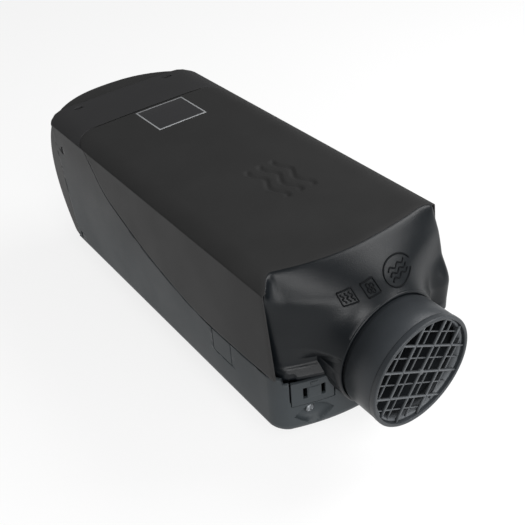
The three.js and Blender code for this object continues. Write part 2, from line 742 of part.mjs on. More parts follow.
// Snap hooks that reach forward inside the casing and rise into its windows.
const hookLength = 22;
const hookThick = 1.6;
const topHooks = [-1, 1].map((side) => {
  const x = side * hookTop.x;
  const under = casingTop - wall + crownAt(hookTop.x + 6) - fit;
  return box(x - 6, x + 6, hookTop.y - 3, rearSeam + 4, under - hookThick, under)
    .add(box(x - hookTop.halfWidth + fit, x + hookTop.halfWidth - fit, hookTop.y - hookTop.halfLength + fit,
      hookTop.y + hookTop.halfLength - fit, under - 1, under + 1.6));
});
const sideHooks = [-1, 1].flatMap((side) => hookSide.z.map((z) => {
  const reach = sideAt(z + 6) - wall - fit;
  const [x0, x1] = [reach - hookThick, reach].map((x) => x * side).sort((a, b) => a - b);
  const [b0, b1] = [reach - 1, reach + 1.6].map((x) => x * side).sort((a, b) => a - b);
  return box(x0, x1, hookSide.y - 3, rearSeam - 3, z - 6, z + 6)
    .add(box(b0, b1, hookSide.y - hookSide.halfLength + fit, hookSide.y + hookSide.halfLength - fit,
      z - hookSide.halfHeight + fit, z + hookSide.halfHeight - fit));
}));
add('rear_intake_grille', intakeSkin.subtract(union(slats)).add(union([...topHooks, ...sideHooks])),
  blackPlastic);

// ---------------------------------------------------------------- heat exchanger and mounting face

function rounded(halfX, halfY, radius, middleY = 0) {
  const shape = new THREE.Shape();
  shape.moveTo(halfX, middleY - halfY + radius);
  shape.absarc(halfX - radius, middleY + halfY - radius, radius, 0, Math.PI / 2, false);
  shape.absarc(-halfX + radius, middleY + halfY - radius, radius, Math.PI / 2, Math.PI, false);
  shape.absarc(-halfX + radius, middleY - halfY + radius, radius, Math.PI, Math.PI * 1.5, false);
  shape.absarc(halfX - radius, middleY - halfY + radius, radius, -Math.PI / 2, 0, false);
  return shape;
}

// A profile of [radius, z] turned about an upright line.
function spun(profile, x, y, segments = 16) {
  const points = profile.map(([radius, z]) => new THREE.Vector2(radius, z));
  points.push(points[0].clone());
  return solid(new THREE.LatheGeometry(points, segments).rotateX(Math.PI / 2).translate(x, y, 0));
}

// A place at an angle about the heater's axis, measured from straight up towards +X.
function about(angle, radius, y) {
  return new THREE.Vector3(radius * Math.sin(angle), y, axisHeight + radius * Math.cos(angle));
}

const padTop = casingBottom;
const studTop = padTop - 1;
const stubSeat = padTop - 2;
const stubInner = stubOuter - stubWall;
const fuelTop = 20;
const studPlaces = [[-1, -1], [1, -1], [-1, 1], [1, 1]]
  .map(([u, v]) => [(u * studSpacingX) / 2, (v * studSpacingY) / 2]);
const studHoles = (reach) => studPlaces.map(([x, y]) => upright(studRadius + fit, x, y, -1, reach, 12));
const stubHoles = (reach) => [exhaustY, airInY].map((y) => upright(stubOuter + fit, 0, y, -1, reach, 20));

add('flange_gasket', prism(rounded(gasketHalfWidth, gasketHalfLength, cornerRound), 'z', 0, mountGasket, 4)
  .subtract(union([...studHoles(10), ...stubHoles(10), upright(fuelOuter + fit, fuelX, fuelY, -1, 10, 16)])),
rubber);

const coreInner = coreOuter - coreWall;
const flangeThickness = 6;
const seatDepth = burnerFlange + 2.5; // shoulder in the core that the burner's flange rests on
const screwRing = 38.2;
const screwRadius = 2;
const screwAngles = [45, 135, 225, 315].map(THREE.MathUtils.degToRad);
const screwHoles = (from, to) => screwAngles.map((angle) => rod(screwRadius + fit,
  about(angle, screwRing, from), about(angle, screwRing, to), 8));

const plugAngle = THREE.MathUtils.degToRad(72);
const plugY = 24;
const plugBoss = 7;
const plugBossEnd = 44;
const sensorY = -20;
const sensorBase = axisHeight + finHalfHeight;

const fins = Array.from({ length: finCount }, (_, i) => {
  const fin = new THREE.BoxGeometry(finThickness, finBack - exchangerFront - 4, 56);
  fin.translate(0, (finBack + exchangerFront + 4) / 2, coreInner + 1 + 28);
  return solid(fin.rotateY((i * Math.PI * 2) / finCount).translate(0, 0, axisHeight));
});
const finSpace = prism(rounded(finHalfWidth, finHalfHeight, finRound, axisHeight), 'y', exchangerFront, finBack, 1);
const exchanger = union(fins).intersect(finSpace)
  .subtract(rod(plugBoss + 4, about(plugAngle, coreOuter, plugY), about(plugAngle, 90, plugY)))
  .add(disc(coreOuter, exchangerFront, exchangerBack))
  .add(disc(blowerOuter, exchangerBack - flangeThickness, exchangerBack))
  .add(rod(plugBoss, about(plugAngle, coreInner, plugY), about(plugAngle, plugBossEnd, plugY)))
  .add(box(-14, 14, sensorY - 10, sensorY + 10, axisHeight + coreInner, sensorBase))
  .add(box(-footHalfWidth, footHalfWidth, footFront, footBack, padTop - 1, axisHeight - 20))
  .subtract(disc(coreInner, exchangerFront + coreWall, exchangerBack - seatDepth))
  .subtract(disc(burnerOuter + 1.5, 0, exchangerBack + 1))
  .subtract(disc(coreInner, exchangerBack - burnerFlange, exchangerBack + 1))
  .add(prism(rounded(gasketHalfWidth, gasketHalfLength, cornerRound), 'z', mountGasket, padTop, 4))
  .subtract(union([...studHoles(studTop), ...stubHoles(stubSeat)]))
  .subtract(upright(stubInner, 0, exhaustY, 0, axisHeight - coreInner + 4, 20))
  .subtract(upright(stubInner, 0, airInY, 0, padTop + 1, 20))
  .subtract(upright(fuelOuter + fit, fuelX, fuelY, 0, fuelTop, 16))
  .subtract(rod(3.4, about(plugAngle, 20, plugY), about(plugAngle, 60, plugY), 16))
  .subtract(union(screwHoles(exchangerBack - flangeThickness + 1, exchangerBack + 1)));
add('heat_exchanger', exchanger, castAluminium);

const stub = (y) => spun([
  [stubInner, -stubDrop],
  [stubOuter, -stubDrop],
  [stubOuter, -stubDrop + 3],
  [stubOuter + 0.8, -stubDrop + 4],
  [stubOuter, -stubDrop + 5],
  [stubOuter, stubSeat],
  [stubInner, stubSeat],
], 0, y, 20);
add('exhaust_stub', stub(exhaustY), steel);
add('combustion_air_stub', stub(airInY), castAluminium);
add('fuel_stub', spun([
  [1.2, -studDrop],
  [fuelOuter, -studDrop],
  [fuelOuter, fuelTop],
  [0, fuelTop],
  [0, fuelTop - 2],
  [1.2, fuelTop - 2],
], fuelX, fuelY, 16), steel);
studPlaces.forEach(([x, y], i) => add(`mounting_stud_${i + 1}`, spun([
  [0, -studDrop],
  [studRadius - 0.8, -studDrop],
  [studRadius, -studDrop + 1],
  [studRadius, studTop],
  [0, studTop],
], x, y, 12), steel));

add('overheat_sensor', spun([
  [0, sensorBase],
  [7, sensorBase],
  [7, sensorBase + 4],
  [5, sensorBase + 5],
  [0, sensorBase + 5],
], 0, sensorY), steel);
const clipTop = sensorBase + 6.2;
add('sensor_clip', box(-13, 13, sensorY - 2, sensorY + 2, clipTop - 0.9, clipTop)
  .add(box(-13, -12, sensorY - 2, sensorY + 2, sensorBase, clipTop))
  .add(box(12, 13, sensorY - 2, sensorY + 2, sensorBase, clipTop)), steel);

// ---------------------------------------------------------------- burner

const burnerInner = burnerOuter - burnerWall;
const flameHoles = [0, 2, 4].map((i) => rod(2.4, about((i * Math.PI) / 3, 20, -38),
  about((i * Math.PI) / 3, 30, -38), 6));
add('combustion_chamber', ring(burnerOuter, burnerInner, burnerFront, exchangerBack)
  .add(ring(coreInner - fit, burnerInner, exchangerBack - burnerFlange, exchangerBack))
  .subtract(union(flameHoles))
  .subtract(rod(3.6, about(plugAngle, 20, plugY), about(plugAngle, 30, plugY), 16)), steel);
add('evaporator_screen', ring(burnerInner - fit, 6, exchangerBack - 12, exchangerBack - 8, 32), steel);
const blowerFront = exchangerBack + gasketThickness;
add('burner_gasket', ring(blowerOuter, 20, exchangerBack, blowerFront)
  .subtract(union(screwHoles(exchangerBack - 1, blowerFront + 1))), rubber);
const plugHead = plugBossEnd + fit;
add('glow_plug', rod(2.8, about(plugAngle, 21, plugY), about(plugAngle, plugHead + 2, plugY), 12)
  .add(rod(5.6, about(plugAngle, plugHead, plugY), about(plugAngle, plugHead + 5, plugY), 6))
  .add(rod(2, about(plugAngle, plugHead + 4, plugY), about(plugAngle, plugHead + 11, plugY), 10)), steel);

// ---------------------------------------------------------------- combustion air blower

const blowerBack = blowerFront + blowerDepth;
const pocket = impellerOuter + runningGap;
const noseHalfWidth = 14;
const noseTop = axisHeight - finHalfHeight - fit;
const noseFront = footBack + 1.5;
const channel = { halfWidth: 10, bottom: 12.4, top: 15.2 };
const blowerHousing = disc(blowerOuter, blowerFront, blowerBack)
  .add(box(-noseHalfWidth, noseHalfWidth, noseFront, padOpening.back - 0.5, padTop, noseTop))
  .add(box(-noseHalfWidth, noseHalfWidth, blowerFront, padOpening.back - 0.5, padTop, 34))
  .add(box(-noseHalfWidth, noseHalfWidth, blowerFront, blowerBack, casingBottom + wall + fit, 34))
  .subtract(disc(pocket, blowerFront + blowerFloor, blowerBack + 1))
  .subtract(disc(16, blowerFront - 1, blowerBack))
  .subtract(upright(stubInner, 0, airInY, padTop - 1, channel.top, 20))
  .subtract(box(-channel.halfWidth, channel.halfWidth, airInY, blowerBack - 3, channel.bottom, channel.top))
  .subtract(box(-channel.halfWidth, channel.halfWidth, blowerBack - 14, blowerBack - 3, channel.bottom, 36))
  .subtract(union(screwHoles(blowerFront - 1, blowerBack + 1)));
add('blower_housing', blowerHousing, castAluminium);

const motorFront = blowerBack + coverThickness;
add('blower_cover', ring(blowerOuter, shaftRadius + 3, blowerBack, motorFront)
  .subtract(union(screwHoles(blowerBack - 1, motorFront + 1))), castAluminium);
screwAngles.forEach((angle, i) => {
  const end = exchangerBack - flangeThickness + 1;
  add(`blower_screw_${i + 1}`, rod(screwRadius, about(angle, screwRing, end), about(angle, screwRing, motorFront + 1), 8)
    .add(rod(3.6, about(angle, screwRing, motorFront), about(angle, screwRing, motorFront + 3), 10))
    .subtract(rod(1.7, about(angle, screwRing, motorFront + 1.4), about(angle, screwRing, motorFront + 4), 6)), steel);
});

const bore = shaftRadius + fit;
const impellerBack = blowerBack - 5;
const vanes = Array.from({ length: impellerVanes }, (_, i) => {
  const vane = new THREE.BoxGeometry(1.2, impellerThickness, 20);
  vane.rotateY(0.35).translate(0, impellerBack - 2 - impellerThickness / 2 + 0.5, impellerOuter - 11.5);
  return solid(vane.rotateY((i * Math.PI * 2) / impellerVanes).translate(0, 0, axisHeight));
});
add('combustion_impeller', union(vanes)
  .add(disc(impellerOuter, impellerBack - 2, impellerBack))
  .add(disc(6, impellerBack - 9, impellerBack + 1, 16))
  .subtract(disc(bore, 0, 200, 16)), fanPlastic);

// ---------------------------------------------------------------- motor

const motorInner = motorOuter - motorWall;
const motorBack = motorFront + motorLength;
const capThickness = 2;
const bearingSeat = bearingOuter + fit;
const bearingSleeve = bearingSeat + 2.2;
const canEnd = motorBack - capThickness;
const plateBack = motorFront + 1.5;
add('motor_can', ring(motorOuter, motorInner, motorFront, canEnd)
  .add(ring(motorOuter, shaftRadius + 2, motorFront, plateBack))
  .add(ring(bearingSleeve, bearingSeat, plateBack - 0.5, plateBack + bearingWidth, 24)), steel);
add('motor_end_cap', ring(motorOuter, shaftRadius + 2, canEnd, motorBack)
  .add(ring(bearingSleeve, bearingSeat, canEnd - bearingWidth, canEnd + 0.5, 24)), fanPlastic);
add('front_bearing', ring(bearingOuter, bore, plateBack, plateBack + bearingWidth, 20), steel);
add('rear_bearing', ring(bearingOuter, bore, canEnd - bearingWidth, canEnd, 20), steel);
const rotorFront = plateBack + bearingWidth + 4;
const rotorBack = canEnd - bearingWidth - 4;
add('rotor_magnet', ring(magnetOuter, bore, rotorFront, rotorBack, 24), magnetGrey);
const coils = [0, 1, 2, 3, 4, 5].map((i) => {
  const slot = new THREE.BoxGeometry(3, rotorBack - rotorFront + 2, 3.4);
  slot.translate(0, (rotorFront + rotorBack) / 2, magnetOuter + 2);
  return solid(slot.rotateY((i * Math.PI) / 3).translate(0, 0, axisHeight));
});
add('stator_core', ring(motorInner - fit, magnetOuter + 1, rotorFront, rotorBack, 30).subtract(union(coils)), steel);

const fanFront = shroudFront + 5;
const fanBack = fanFront + fanDepth;
const nutBack = fanBack + 4;
add('motor_shaft', disc(shaftRadius, impellerBack - 11, nutBack + 2, 20), steel);

// ---------------------------------------------------------------- hot air fan

// One twisted blade: a thin slanting section at each radius, steepest near the hub.
const bladeRoot = fanHub - 1;
const bladeRings = steps(bladeRoot, fanOuter, 3).map((radius) => {
  const out = (radius - bladeRoot) / (fanOuter - bladeRoot);
  const pitch = THREE.MathUtils.degToRad(THREE.MathUtils.lerp(48, 27, out));
  const chord = THREE.MathUtils.lerp(19, 30, out);
  const thick = THREE.MathUtils.lerp(2.4, 1.5, out);
  const lag = out * 5;
  return [[-0.5, 0], [0, -0.5], [0.5, 0], [0, 0.5]].map(([u, v]) => {
    const along = u * chord;
    const off = v * thick + (0.25 - u * u) * 6;
    return new THREE.Vector3(
      along * Math.cos(pitch) - off * Math.sin(pitch) - lag,
      along * Math.sin(pitch) + off * Math.cos(pitch),
      radius,
    );
  });
});
const blade = loft(bladeRings, (p) => new THREE.Vector2(p.x, p.y));
const blades = Array.from({ length: fanBlades }, (_, i) => blade.rotate([0, (i * 360) / fanBlades, 0])
  .translate([0, (fanFront + fanBack) / 2 - 1, axisHeight]));
const hub = turned([
  [bore, fanFront],
  [7, fanFront],
  [7, fanBack - 2.5],
  [fanHub - 2, fanBack - 2.5],
  [fanHub - 2, fanFront],
  [fanHub, fanFront],
  [fanHub, fanBack - 2],
  [fanHub - 2, fanBack],
  [bore, fanBack],
], 24);
add('hot_air_impeller', union(blades)
  .intersect(ring(fanOuter, fanHub - 1, fanFront, fanBack - 0.5))
  .add(hub), fanPlastic);
add('impeller_nut', rod(4.6, about(0, 0, fanBack), about(0, 0, nutBack), 6)
  .subtract(disc(bore, 0, 200, 16)), steel);

const shroudTop = 118.5;
add('fan_shroud', prism(section(wall + fit), 'y', shroudFront, shroudFront + shroudPlate)
  .subtract(box(-100, 100, 0, 200, shroudTop, rear.high))
  .add(disc(fanShroudInner + shroudWall, shroudFront, fanBack + 4))
  .subtract(disc(fanShroudInner, 0, 200)), fanPlastic);

// ---------------------------------------------------------------- control unit and lead entry

const trayTop = 91.7;
const unitFront = motorFront + 4;
const unitLength = 40;
const unitHalfWidth = 35;
const unitBack = unitFront + unitLength;
const unitTop = trayTop + 20;
add('control_unit_bracket', box(-20, 20, motorFront, motorFront + 1.6, motorOuter + axisHeight + 1.5, trayTop)
  .add(box(-20, 20, motorFront, unitFront + 1, trayTop - 1.7, trayTop))
  .add(box(-31, 31, unitFront, unitBack - 4, trayTop - 1.7, trayTop)), steel);
add('control_unit', box(-unitHalfWidth, unitHalfWidth, unitFront, unitBack, trayTop, unitTop - 3)
  .add(box(2 - unitHalfWidth, unitHalfWidth - 2, unitFront + 2, unitBack - 2, unitTop - 4, unitTop)), fanPlastic);
const socketSpace = box(unitHalfWidth + 1.5, unitHalfWidth + 11, unitFront + 8, unitBack - 8, trayTop + 4, unitTop - 6);
add('control_unit_socket', box(unitHalfWidth, unitHalfWidth + 9, unitFront + 6, unitBack - 6, trayTop + 2, unitTop - 4)
  .subtract(socketSpace), boardGreen);

const atGrommet = (x) => new THREE.Vector3(x, grommetY, grommetZ);
const grommetFlange = grommetHole + 2;
const outerFace = sideAt(grommetZ - grommetFlange) + 0.2;
const innerFace = sideAt(grommetZ + grommetFlange) - wall - 0.2;
add('cable_grommet', rod(grommetHole - fit, atGrommet(innerFace - 2), atGrommet(outerFace + 1.5))
  .add(rod(grommetFlange, atGrommet(outerFace), atGrommet(outerFace + 1.8)))
  .add(rod(grommetFlange, atGrommet(innerFace - 2.3), atGrommet(innerFace)))
  .subtract(rod(4, atGrommet(innerFace - 8), atGrommet(outerFace + 8), 10)), rubber);

export default heater;
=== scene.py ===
"""A diesel-fired cabin air heater: moulded black casing, hooded outlet and a round duct nozzle.

Lengths are in millimetres until a mesh is made. +Z is up, warm air leaves towards -Y.
"""

import bmesh
import bpy
import numpy as np
from mathutils import Matrix, Vector


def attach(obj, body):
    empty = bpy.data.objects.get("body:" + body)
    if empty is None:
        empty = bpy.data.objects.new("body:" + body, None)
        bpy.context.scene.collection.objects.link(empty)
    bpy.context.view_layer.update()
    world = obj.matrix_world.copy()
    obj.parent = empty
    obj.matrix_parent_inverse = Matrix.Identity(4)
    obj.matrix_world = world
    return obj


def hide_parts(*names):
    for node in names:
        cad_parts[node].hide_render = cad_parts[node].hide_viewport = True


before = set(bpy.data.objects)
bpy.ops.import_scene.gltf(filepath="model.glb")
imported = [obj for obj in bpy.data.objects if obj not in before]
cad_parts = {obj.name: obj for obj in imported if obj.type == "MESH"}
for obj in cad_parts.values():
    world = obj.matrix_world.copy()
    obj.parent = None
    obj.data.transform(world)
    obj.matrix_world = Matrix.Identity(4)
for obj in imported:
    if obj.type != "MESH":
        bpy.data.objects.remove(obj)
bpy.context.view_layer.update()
scene = bpy.context.scene

# ---------------------------------------------------------------- camera
# Looks down on the outlet end from its left, with the picture tipped a little.
# The focal length is worked out for a picture 525 pixels wide.

PICTURE = 525
FOCAL_PIXELS = 773.88
azimuth, elevation, roll = np.radians([-33.812, 37.695, -4.839])
camera_place = Vector((-0.2544, -0.3926, 0.4051))
level = np.array([np.cos(azimuth), np.sin(azimuth), 0])
back = np.array([np.sin(azimuth), -np.cos(azimuth), 0]) * np.cos(elevation) + [0, 0, np.sin(elevation)]
upright = np.cross(back, level)
right_way = level * np.cos(roll) + upright * np.sin(roll)
up_way = upright * np.cos(roll) - level * np.sin(roll)
camera_data = bpy.data.cameras.new("camera")
camera_data.sensor_width = 36
camera_data.lens = 36 * FOCAL_PIXELS / PICTURE
camera_data.clip_start = 0.01
camera = bpy.data.objects.new("camera", camera_data)
turn = Matrix([[right_way[i], up_way[i], back[i]] for i in range(3)]).to_4x4()
camera.matrix_world = Matrix.Translation(camera_place) @ turn
scene.collection.objects.link(camera)
scene.camera = camera

# ---------------------------------------------------------------- studio
# A sheet of white paper under the heater, weak light from all round and four soft lamps: one high on the
# right, two in front and a faint one on the left. The paper shows white but throws little light back.

FLOOR_HEIGHT = -0.0275  # half a millimetre under the lowest pipe, in metres as all of the studio is
LAMP_AIM = Vector((0, 0, 0.06))


def linear(hex_colour):
    """An sRGB hex colour as linear RGBA."""
    parts = np.array([int(hex_colour[i : i + 2], 16) for i in (1, 3, 5)]) / 255
    bright = np.where(parts <= 0.04045, parts / 12.92, ((parts + 0.055) / 1.055) ** 2.4)
    return (*bright.tolist(), 1.0)


def add_node(tree, kind, settings=None, **sockets):
    """A node with its settings and sockets. A socket goes by its name, with _ for a space, or by i and its
    number. It takes a value, another node's socket or a node, which stands for its first output."""
    node = tree.nodes.new(kind)
    for key, value in (settings or {}).items():
        setattr(node, key, value)
    for key, value in sockets.items():
        socket = node.inputs[int(key[1:]) if key[1:].isdigit() else key.replace("_", " ")]
        if isinstance(value, bpy.types.Node):
            value = value.outputs[0]
        if isinstance(value, bpy.types.NodeSocket):
            tree.links.new(value, socket)
        else:
            socket.default_value = value
    return node


def new_material(name):
    """An empty node material and its tree."""
    made = bpy.data.materials.new(name)
    made.use_nodes = True
    made.node_tree.nodes.clear()
    return made, made.node_tree


paper, tree = new_material("backdrop_paper")
bounce = add_node(tree, "ShaderNodeBsdfPrincipled", Base_Color=linear("#8f8f8f"), Roughness=0.9)
lit_paper = add_node(tree, "ShaderNodeBsdfDiffuse", Color=linear("#ffffff"))
glow = add_node(tree, "ShaderNodeEmission", Color=linear("#ffffff"), Strength=1.0)
white_paper = add_node(tree, "ShaderNodeMixShader", i0=0.8, i1=lit_paper, i2=glow)
rays = add_node(tree, "ShaderNodeLightPath").outputs
larger = {"operation": "MAXIMUM"}
direct = add_node(tree, "ShaderNodeMath", larger, i0=rays["Is Camera Ray"], i1=rays["Is Glossy Ray"])
direct = add_node(tree, "ShaderNodeMath", larger, i0=direct, i1=rays["Is Transmission Ray"])
paper_mix = add_node(tree, "ShaderNodeMixShader", i0=direct, i1=bounce, i2=white_paper)
add_node(tree, "ShaderNodeOutputMaterial", Surface=paper_mix)
bpy.ops.mesh.primitive_plane_add(size=8, location=(0, 0, FLOOR_HEIGHT))
floor = bpy.context.object
floor.name = "floor"
floor.data.materials.append(paper)

world = bpy.data.worlds.new("studio")
scene.world = world
world.use_nodes = True
sky = world.node_tree.nodes["Background"].inputs
sky["Color"].default_value = linear("#ffffff")
sky["Strength"].default_value = 0.22


def soft_lamp(name, size, power, place):
    """A rectangular lamp of a size (width, height) and a power in watts, turned to the heater."""
    data = bpy.data.lights.new(name, "AREA")
    data.shape = "RECTANGLE"
    data.size, data.size_y = size
    data.energy = power
    lamp = bpy.data.objects.new(name, data)
    lamp.location = place
    lamp.rotation_euler = (LAMP_AIM - Vector(place)).to_track_quat("-Z", "Y").to_euler()
    scene.collection.objects.link(lamp)


soft_lamp("top_light", (0.7, 0.7), 11, (0.75, -0.3, 0.9))
soft_lamp("high_front_light", (0.45, 0.35), 6, (-0.35, -0.85, 0.95))
soft_lamp("low_front_light", (1.5, 0.3), 10, (0.0, -1.15, 0.4))
soft_lamp("left_light", (1.4, 0.5), 0.7, (-1.3, 0.1, 0.2))
scene.view_settings.view_transform = "Standard"

# ---------------------------------------------------------------- upper cover
# The cover is one ABS moulding, 2.5 mm thick. It clips over the base along a line that sweeps up each side
# and ends in a straight seam across the top; its sides run forward as thin wings beside the hood.

MM = 0.001
AXIS = 62.0  # height of the heater's own axis, on which the nozzle, the blower and the burner lie
FOOT_HALF, HEAD_HALF = 71.5, 70.0  # half widths where the drafted sides begin and end
BOTTOM, TOP, CREASE = 8.0, 126.3, 122.0
SHOULDER, ROOF_DOME, ROLL_POWER = 53.0, 0.6, 2.3
ROLL_END = 0.45  # slope of the shoulder where it reaches the crease
FOOT_ROUND, HEAD_ROUND = 8.0, 1.0
SEAM, SEAM_ROUND = 135.0, 20.0
WALL = 2.5
COVER_GAP = 0.95  # a shadow gap along the parting line
WELD = 0.02  # points closer than this become one
HOOD_TOP, BOW_CREST, LEFT_BOW, RIGHT_BOW = -116.2, 8.0, 140.0, 300.0
WING_TOP, WING_FOOT, TIP_LENGTH, TIP_SHARE = -113.4, -124.8, 9.0, 0.3
FLARE_START, FLARE_WIDTH = 54.0, 15.5
SPLIT_Y = 70.0  # where the parting line stops being the side's lower edge and becomes its rear edge
sweep_knots = np.array(
    [[-126, 57.8], [-60, 55.2], [-20, 58], [28, 69], [58, 79.5], [88, 93], [104, 110], [115, 124]], float
)


def smooth_line(knots, count):
    """A smooth curve through knots: each stretch is a cubic, and at a knot the curve runs parallel to the
    line between the knots on either side."""
    padded = np.vstack([2 * knots[0] - knots[1], knots, 2 * knots[-1] - knots[-2]])
    place = np.linspace(0, len(knots) - 1 - 1e-9, count)
    i = place.astype(int)
    t = (place - i)[:, None]
    a, b, c, d = (padded[i + k] for k in range(4))
    return 0.5 * (2 * b + (c - a) * t + (2 * a - 5 * b + 4 * c - d) * t**2 + (3 * b - a - 3 * c + d) * t**3)


sweep_curve = smooth_line(sweep_knots, 600)


def sweep_height(y):
    """Height of the parting line at y."""
    return np.interp(y, sweep_curve[:, 0], sweep_curve[:, 1])


def sweep_place(z):
    """Where along Y the rising rear part of the parting line has height z."""
    rising = sweep_curve[sweep_curve[:, 0] > -30]
    return np.interp(z, rising[:, 1], rising[:, 0])


def side_x(z):
    """Half width of the drafted side at height z: a straight line from the foot to the crease."""
    return FOOT_HALF + (HEAD_HALF - FOOT_HALF) * (z - BOTTOM - FOOT_ROUND) / (CREASE - BOTTOM - FOOT_ROUND)


def rounded_back(x, half, radius):
    """How far a quarter round of a radius has dropped back at x, on a width of twice half."""
    into = np.clip(np.abs(x) - (half - radius), 0, radius)
    return radius - np.sqrt(np.maximum(radius**2 - into**2, 0))


def roof_height(x):
    """Height of the top at x: a shallow parabola, less a power curve that starts at the shoulder and reaches
    the crease at the side."""
    away = np.abs(x)
    roll = np.maximum((away - SHOULDER) / (HEAD_HALF - SHOULDER), 0)
    flat = (away / SHOULDER) ** 2 * ROOF_DOME
    return TOP - flat - (TOP - CREASE - ROOF_DOME * (HEAD_HALF / SHOULDER) ** 2) * roll**ROLL_POWER


def eased(share):
    """0 to 1 along a smooth step."""
    share = np.clip(share, 0, 1)
    return share * share * (3 - 2 * share)


def section_points(q, drop_to):
    """Points (x, z) across the right half of the top: q from 0 at the centre to 1 at the crease, to 2 where
    the side reaches the height drop_to. They follow the roof, an arc round the crease and the side."""
    q, drop_to = np.broadcast_arrays(q, drop_to)
    crease_x = HEAD_HALF - HEAD_ROUND * (1 - np.sin(ROLL_END))
    crease_z = roof_height(crease_x) - HEAD_ROUND * np.cos(ROLL_END)
    x_top = np.clip(q, 0, 1) * crease_x
    turn = HEAD_ROUND * (np.pi / 2 - ROLL_END)
    reach = np.maximum(np.clip(q - 1, 0, 1) * (turn + crease_z - drop_to), 0)
    angle = ROLL_END + np.clip(reach / turn, 0, 1) * (np.pi / 2 - ROLL_END)
    x_arc = HEAD_HALF - HEAD_ROUND + HEAD_ROUND * np.sin(angle)
    z_arc = crease_z + HEAD_ROUND * np.cos(angle)
    z_side = crease_z - (reach - turn)
    x = np.where(q <= 1, x_top, np.where(reach <= turn, x_arc, side_x(z_side)))
    z = np.where(q <= 1, roof_height(x_top), np.where(reach <= turn, z_arc, z_side))
    return x, z


def wing_front(z):
    """Where the cover's side ends in front, at height z: a straight line that leans forward to its foot."""
    return WING_TOP + (CREASE - z) * (WING_FOOT - WING_TOP) / (CREASE - sweep_knots[0, 1])


def bowed(x, right_bow, left_bow):
    """How far a bowed edge has dropped back at x: a parabola around a crest, with a radius for each side."""
    return (x - BOW_CREST) ** 2 / (2 * np.where(x > BOW_CREST, right_bow, left_bow))


def top_edge(x):
    """The edge between cover and hood in plan: bowed, then eased forward to the wings' tips."""
    flare = eased((np.abs(x) - FLARE_START) / FLARE_WIDTH)
    return (HOOD_TOP + bowed(x, RIGHT_BOW, LEFT_BOW)) * (1 - flare) + WING_TOP * flare


def cover_grid(lengthwise, crosswise, inset):
    """The cover's outer face on a grid: lengthwise 0 (front edge) to 1 (rear edge), crosswise -2 to 2 over
    the section. Each point slides between the front edge and the parting line behind it."""
    t, q = np.meshgrid(lengthwise, crosswise, indexing="ij")
    side = np.abs(q)
    # rear edge: the top seam with its round corners, then down along the sweep to the split point
    corner_x, corner_z = section_points(side, sweep_height(SPLIT_Y))
    rear_top = SEAM - inset - rounded_back(np.minimum(corner_x, HEAD_HALF), HEAD_HALF, SEAM_ROUND)
    rear_side = np.minimum(sweep_place(corner_z) - inset, rear_top)
    rear = np.where(side <= 1, rear_top, rear_side)
    # front edge: the bowed top edge, then the wings' sloping ends
    front = np.where(side <= 1, top_edge(np.sign(q) * corner_x), wing_front(corner_z))
    y = front + (rear - front) * t
    # lower edge of the side: on the parting line for every place in front of the split, found in three rounds
    low = sweep_height(y) + inset
    for _ in range(3):
        front_low = wing_front(low)
        low = sweep_height(front_low + (SPLIT_Y - front_low) * t) + inset
    x, z = section_points(side, np.where(t >= 1, sweep_height(SPLIT_Y) + inset, low))
    return np.stack([np.sign(q) * x, y, z], -1)


def spaced(*stretches):
    """Places along a line: each stretch is (start, end, step), joined without doubles."""
    parts = [np.linspace(a, b, max(int(np.ceil(abs(b - a) / step)), 1) + 1) for a, b, step in stretches]
    return np.unique(np.round(np.concatenate(parts), 5))


def sheet(grid):
    """Points of a grid (rows, columns, xyz), row by row, and the quads between them."""
    rows, columns = grid.shape[:2]
    i, j = np.meshgrid(np.arange(rows - 1), np.arange(columns - 1), indexing="ij")
    corner = (i * columns + j).ravel()
    return grid.reshape(-1, 3), np.stack([corner, corner + 1, corner + columns + 1, corner + columns], -1)


def make_object(name, points, faces, material, body, slot):
    """A mesh object from points in mm and faces, welded, facing out, smooth, riding on a body."""
    mesh = bpy.data.meshes.new(name)
    mesh.from_pydata((np.asarray(points) * MM).tolist(), [], [list(map(int, f)) for f in faces])
    built = bpy.data.objects.new(name, mesh)
    scene.collection.objects.link(built)
    work = bmesh.new()
    work.from_mesh(mesh)
    bmesh.ops.remove_doubles(work, verts=work.verts, dist=WELD * MM)
    bmesh.ops.dissolve_degenerate(work, edges=work.edges, dist=WELD * MM / 2)
    bmesh.ops.recalc_face_normals(work, faces=work.faces)
    work.to_mesh(mesh)
    work.free()
    mesh.polygons.foreach_set("use_smooth", np.ones(len(mesh.polygons), bool))
    mesh.materials.append(material)
    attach(built, body)
    return built


def face_sheet(built, towards):
    """Turns an open sheet so that most of its faces look away from a point inside it."""
    mesh = built.data
    centres, normals = np.empty((2, len(mesh.polygons) * 3), np.float32)
    mesh.polygons.foreach_get("center", centres)
    mesh.polygons.foreach_get("normal", normals)
    if ((centres.reshape(-1, 3) - np.array(towards) * MM) * normals.reshape(-1, 3)).sum(1).mean() < 0:
        mesh.flip_normals()


def give_wall(built, thickness, inside_point=(0, 0, AXIS), fine_normals=True):
    """Gives an open sheet a moulded wall inwards."""
    face_sheet(built, inside_point)
    solid = built.modifiers.new("wall", "SOLIDIFY")
    solid.thickness = thickness * MM
    solid.offset = -1
    solid.use_even_offset = True
    solid.use_quality_normals = fine_normals
    return solid


def soft_edges(built, width, angle=50):
    """Rounds the edges that turn by more than an angle in degrees."""
    soften = built.modifiers.new("edge", "BEVEL")
    soften.width = width * MM
    soften.segments = 3
    soften.limit_method = "ANGLE"
    soften.angle_limit = np.radians(angle)


def settle(built):
    """Makes an object's modifiers part of its mesh."""
    bpy.context.view_layer.update()
    made = bpy.data.meshes.new_from_object(built.evaluated_get(bpy.context.evaluated_depsgraph_get()))
    built.modifiers.clear()
    built.data = made


COLOURS = {"data_type": "RGBA"}  # sets a Mix node to blend colours
PATCH = 55.0  # size of the patches in which a moulding is more or less worn


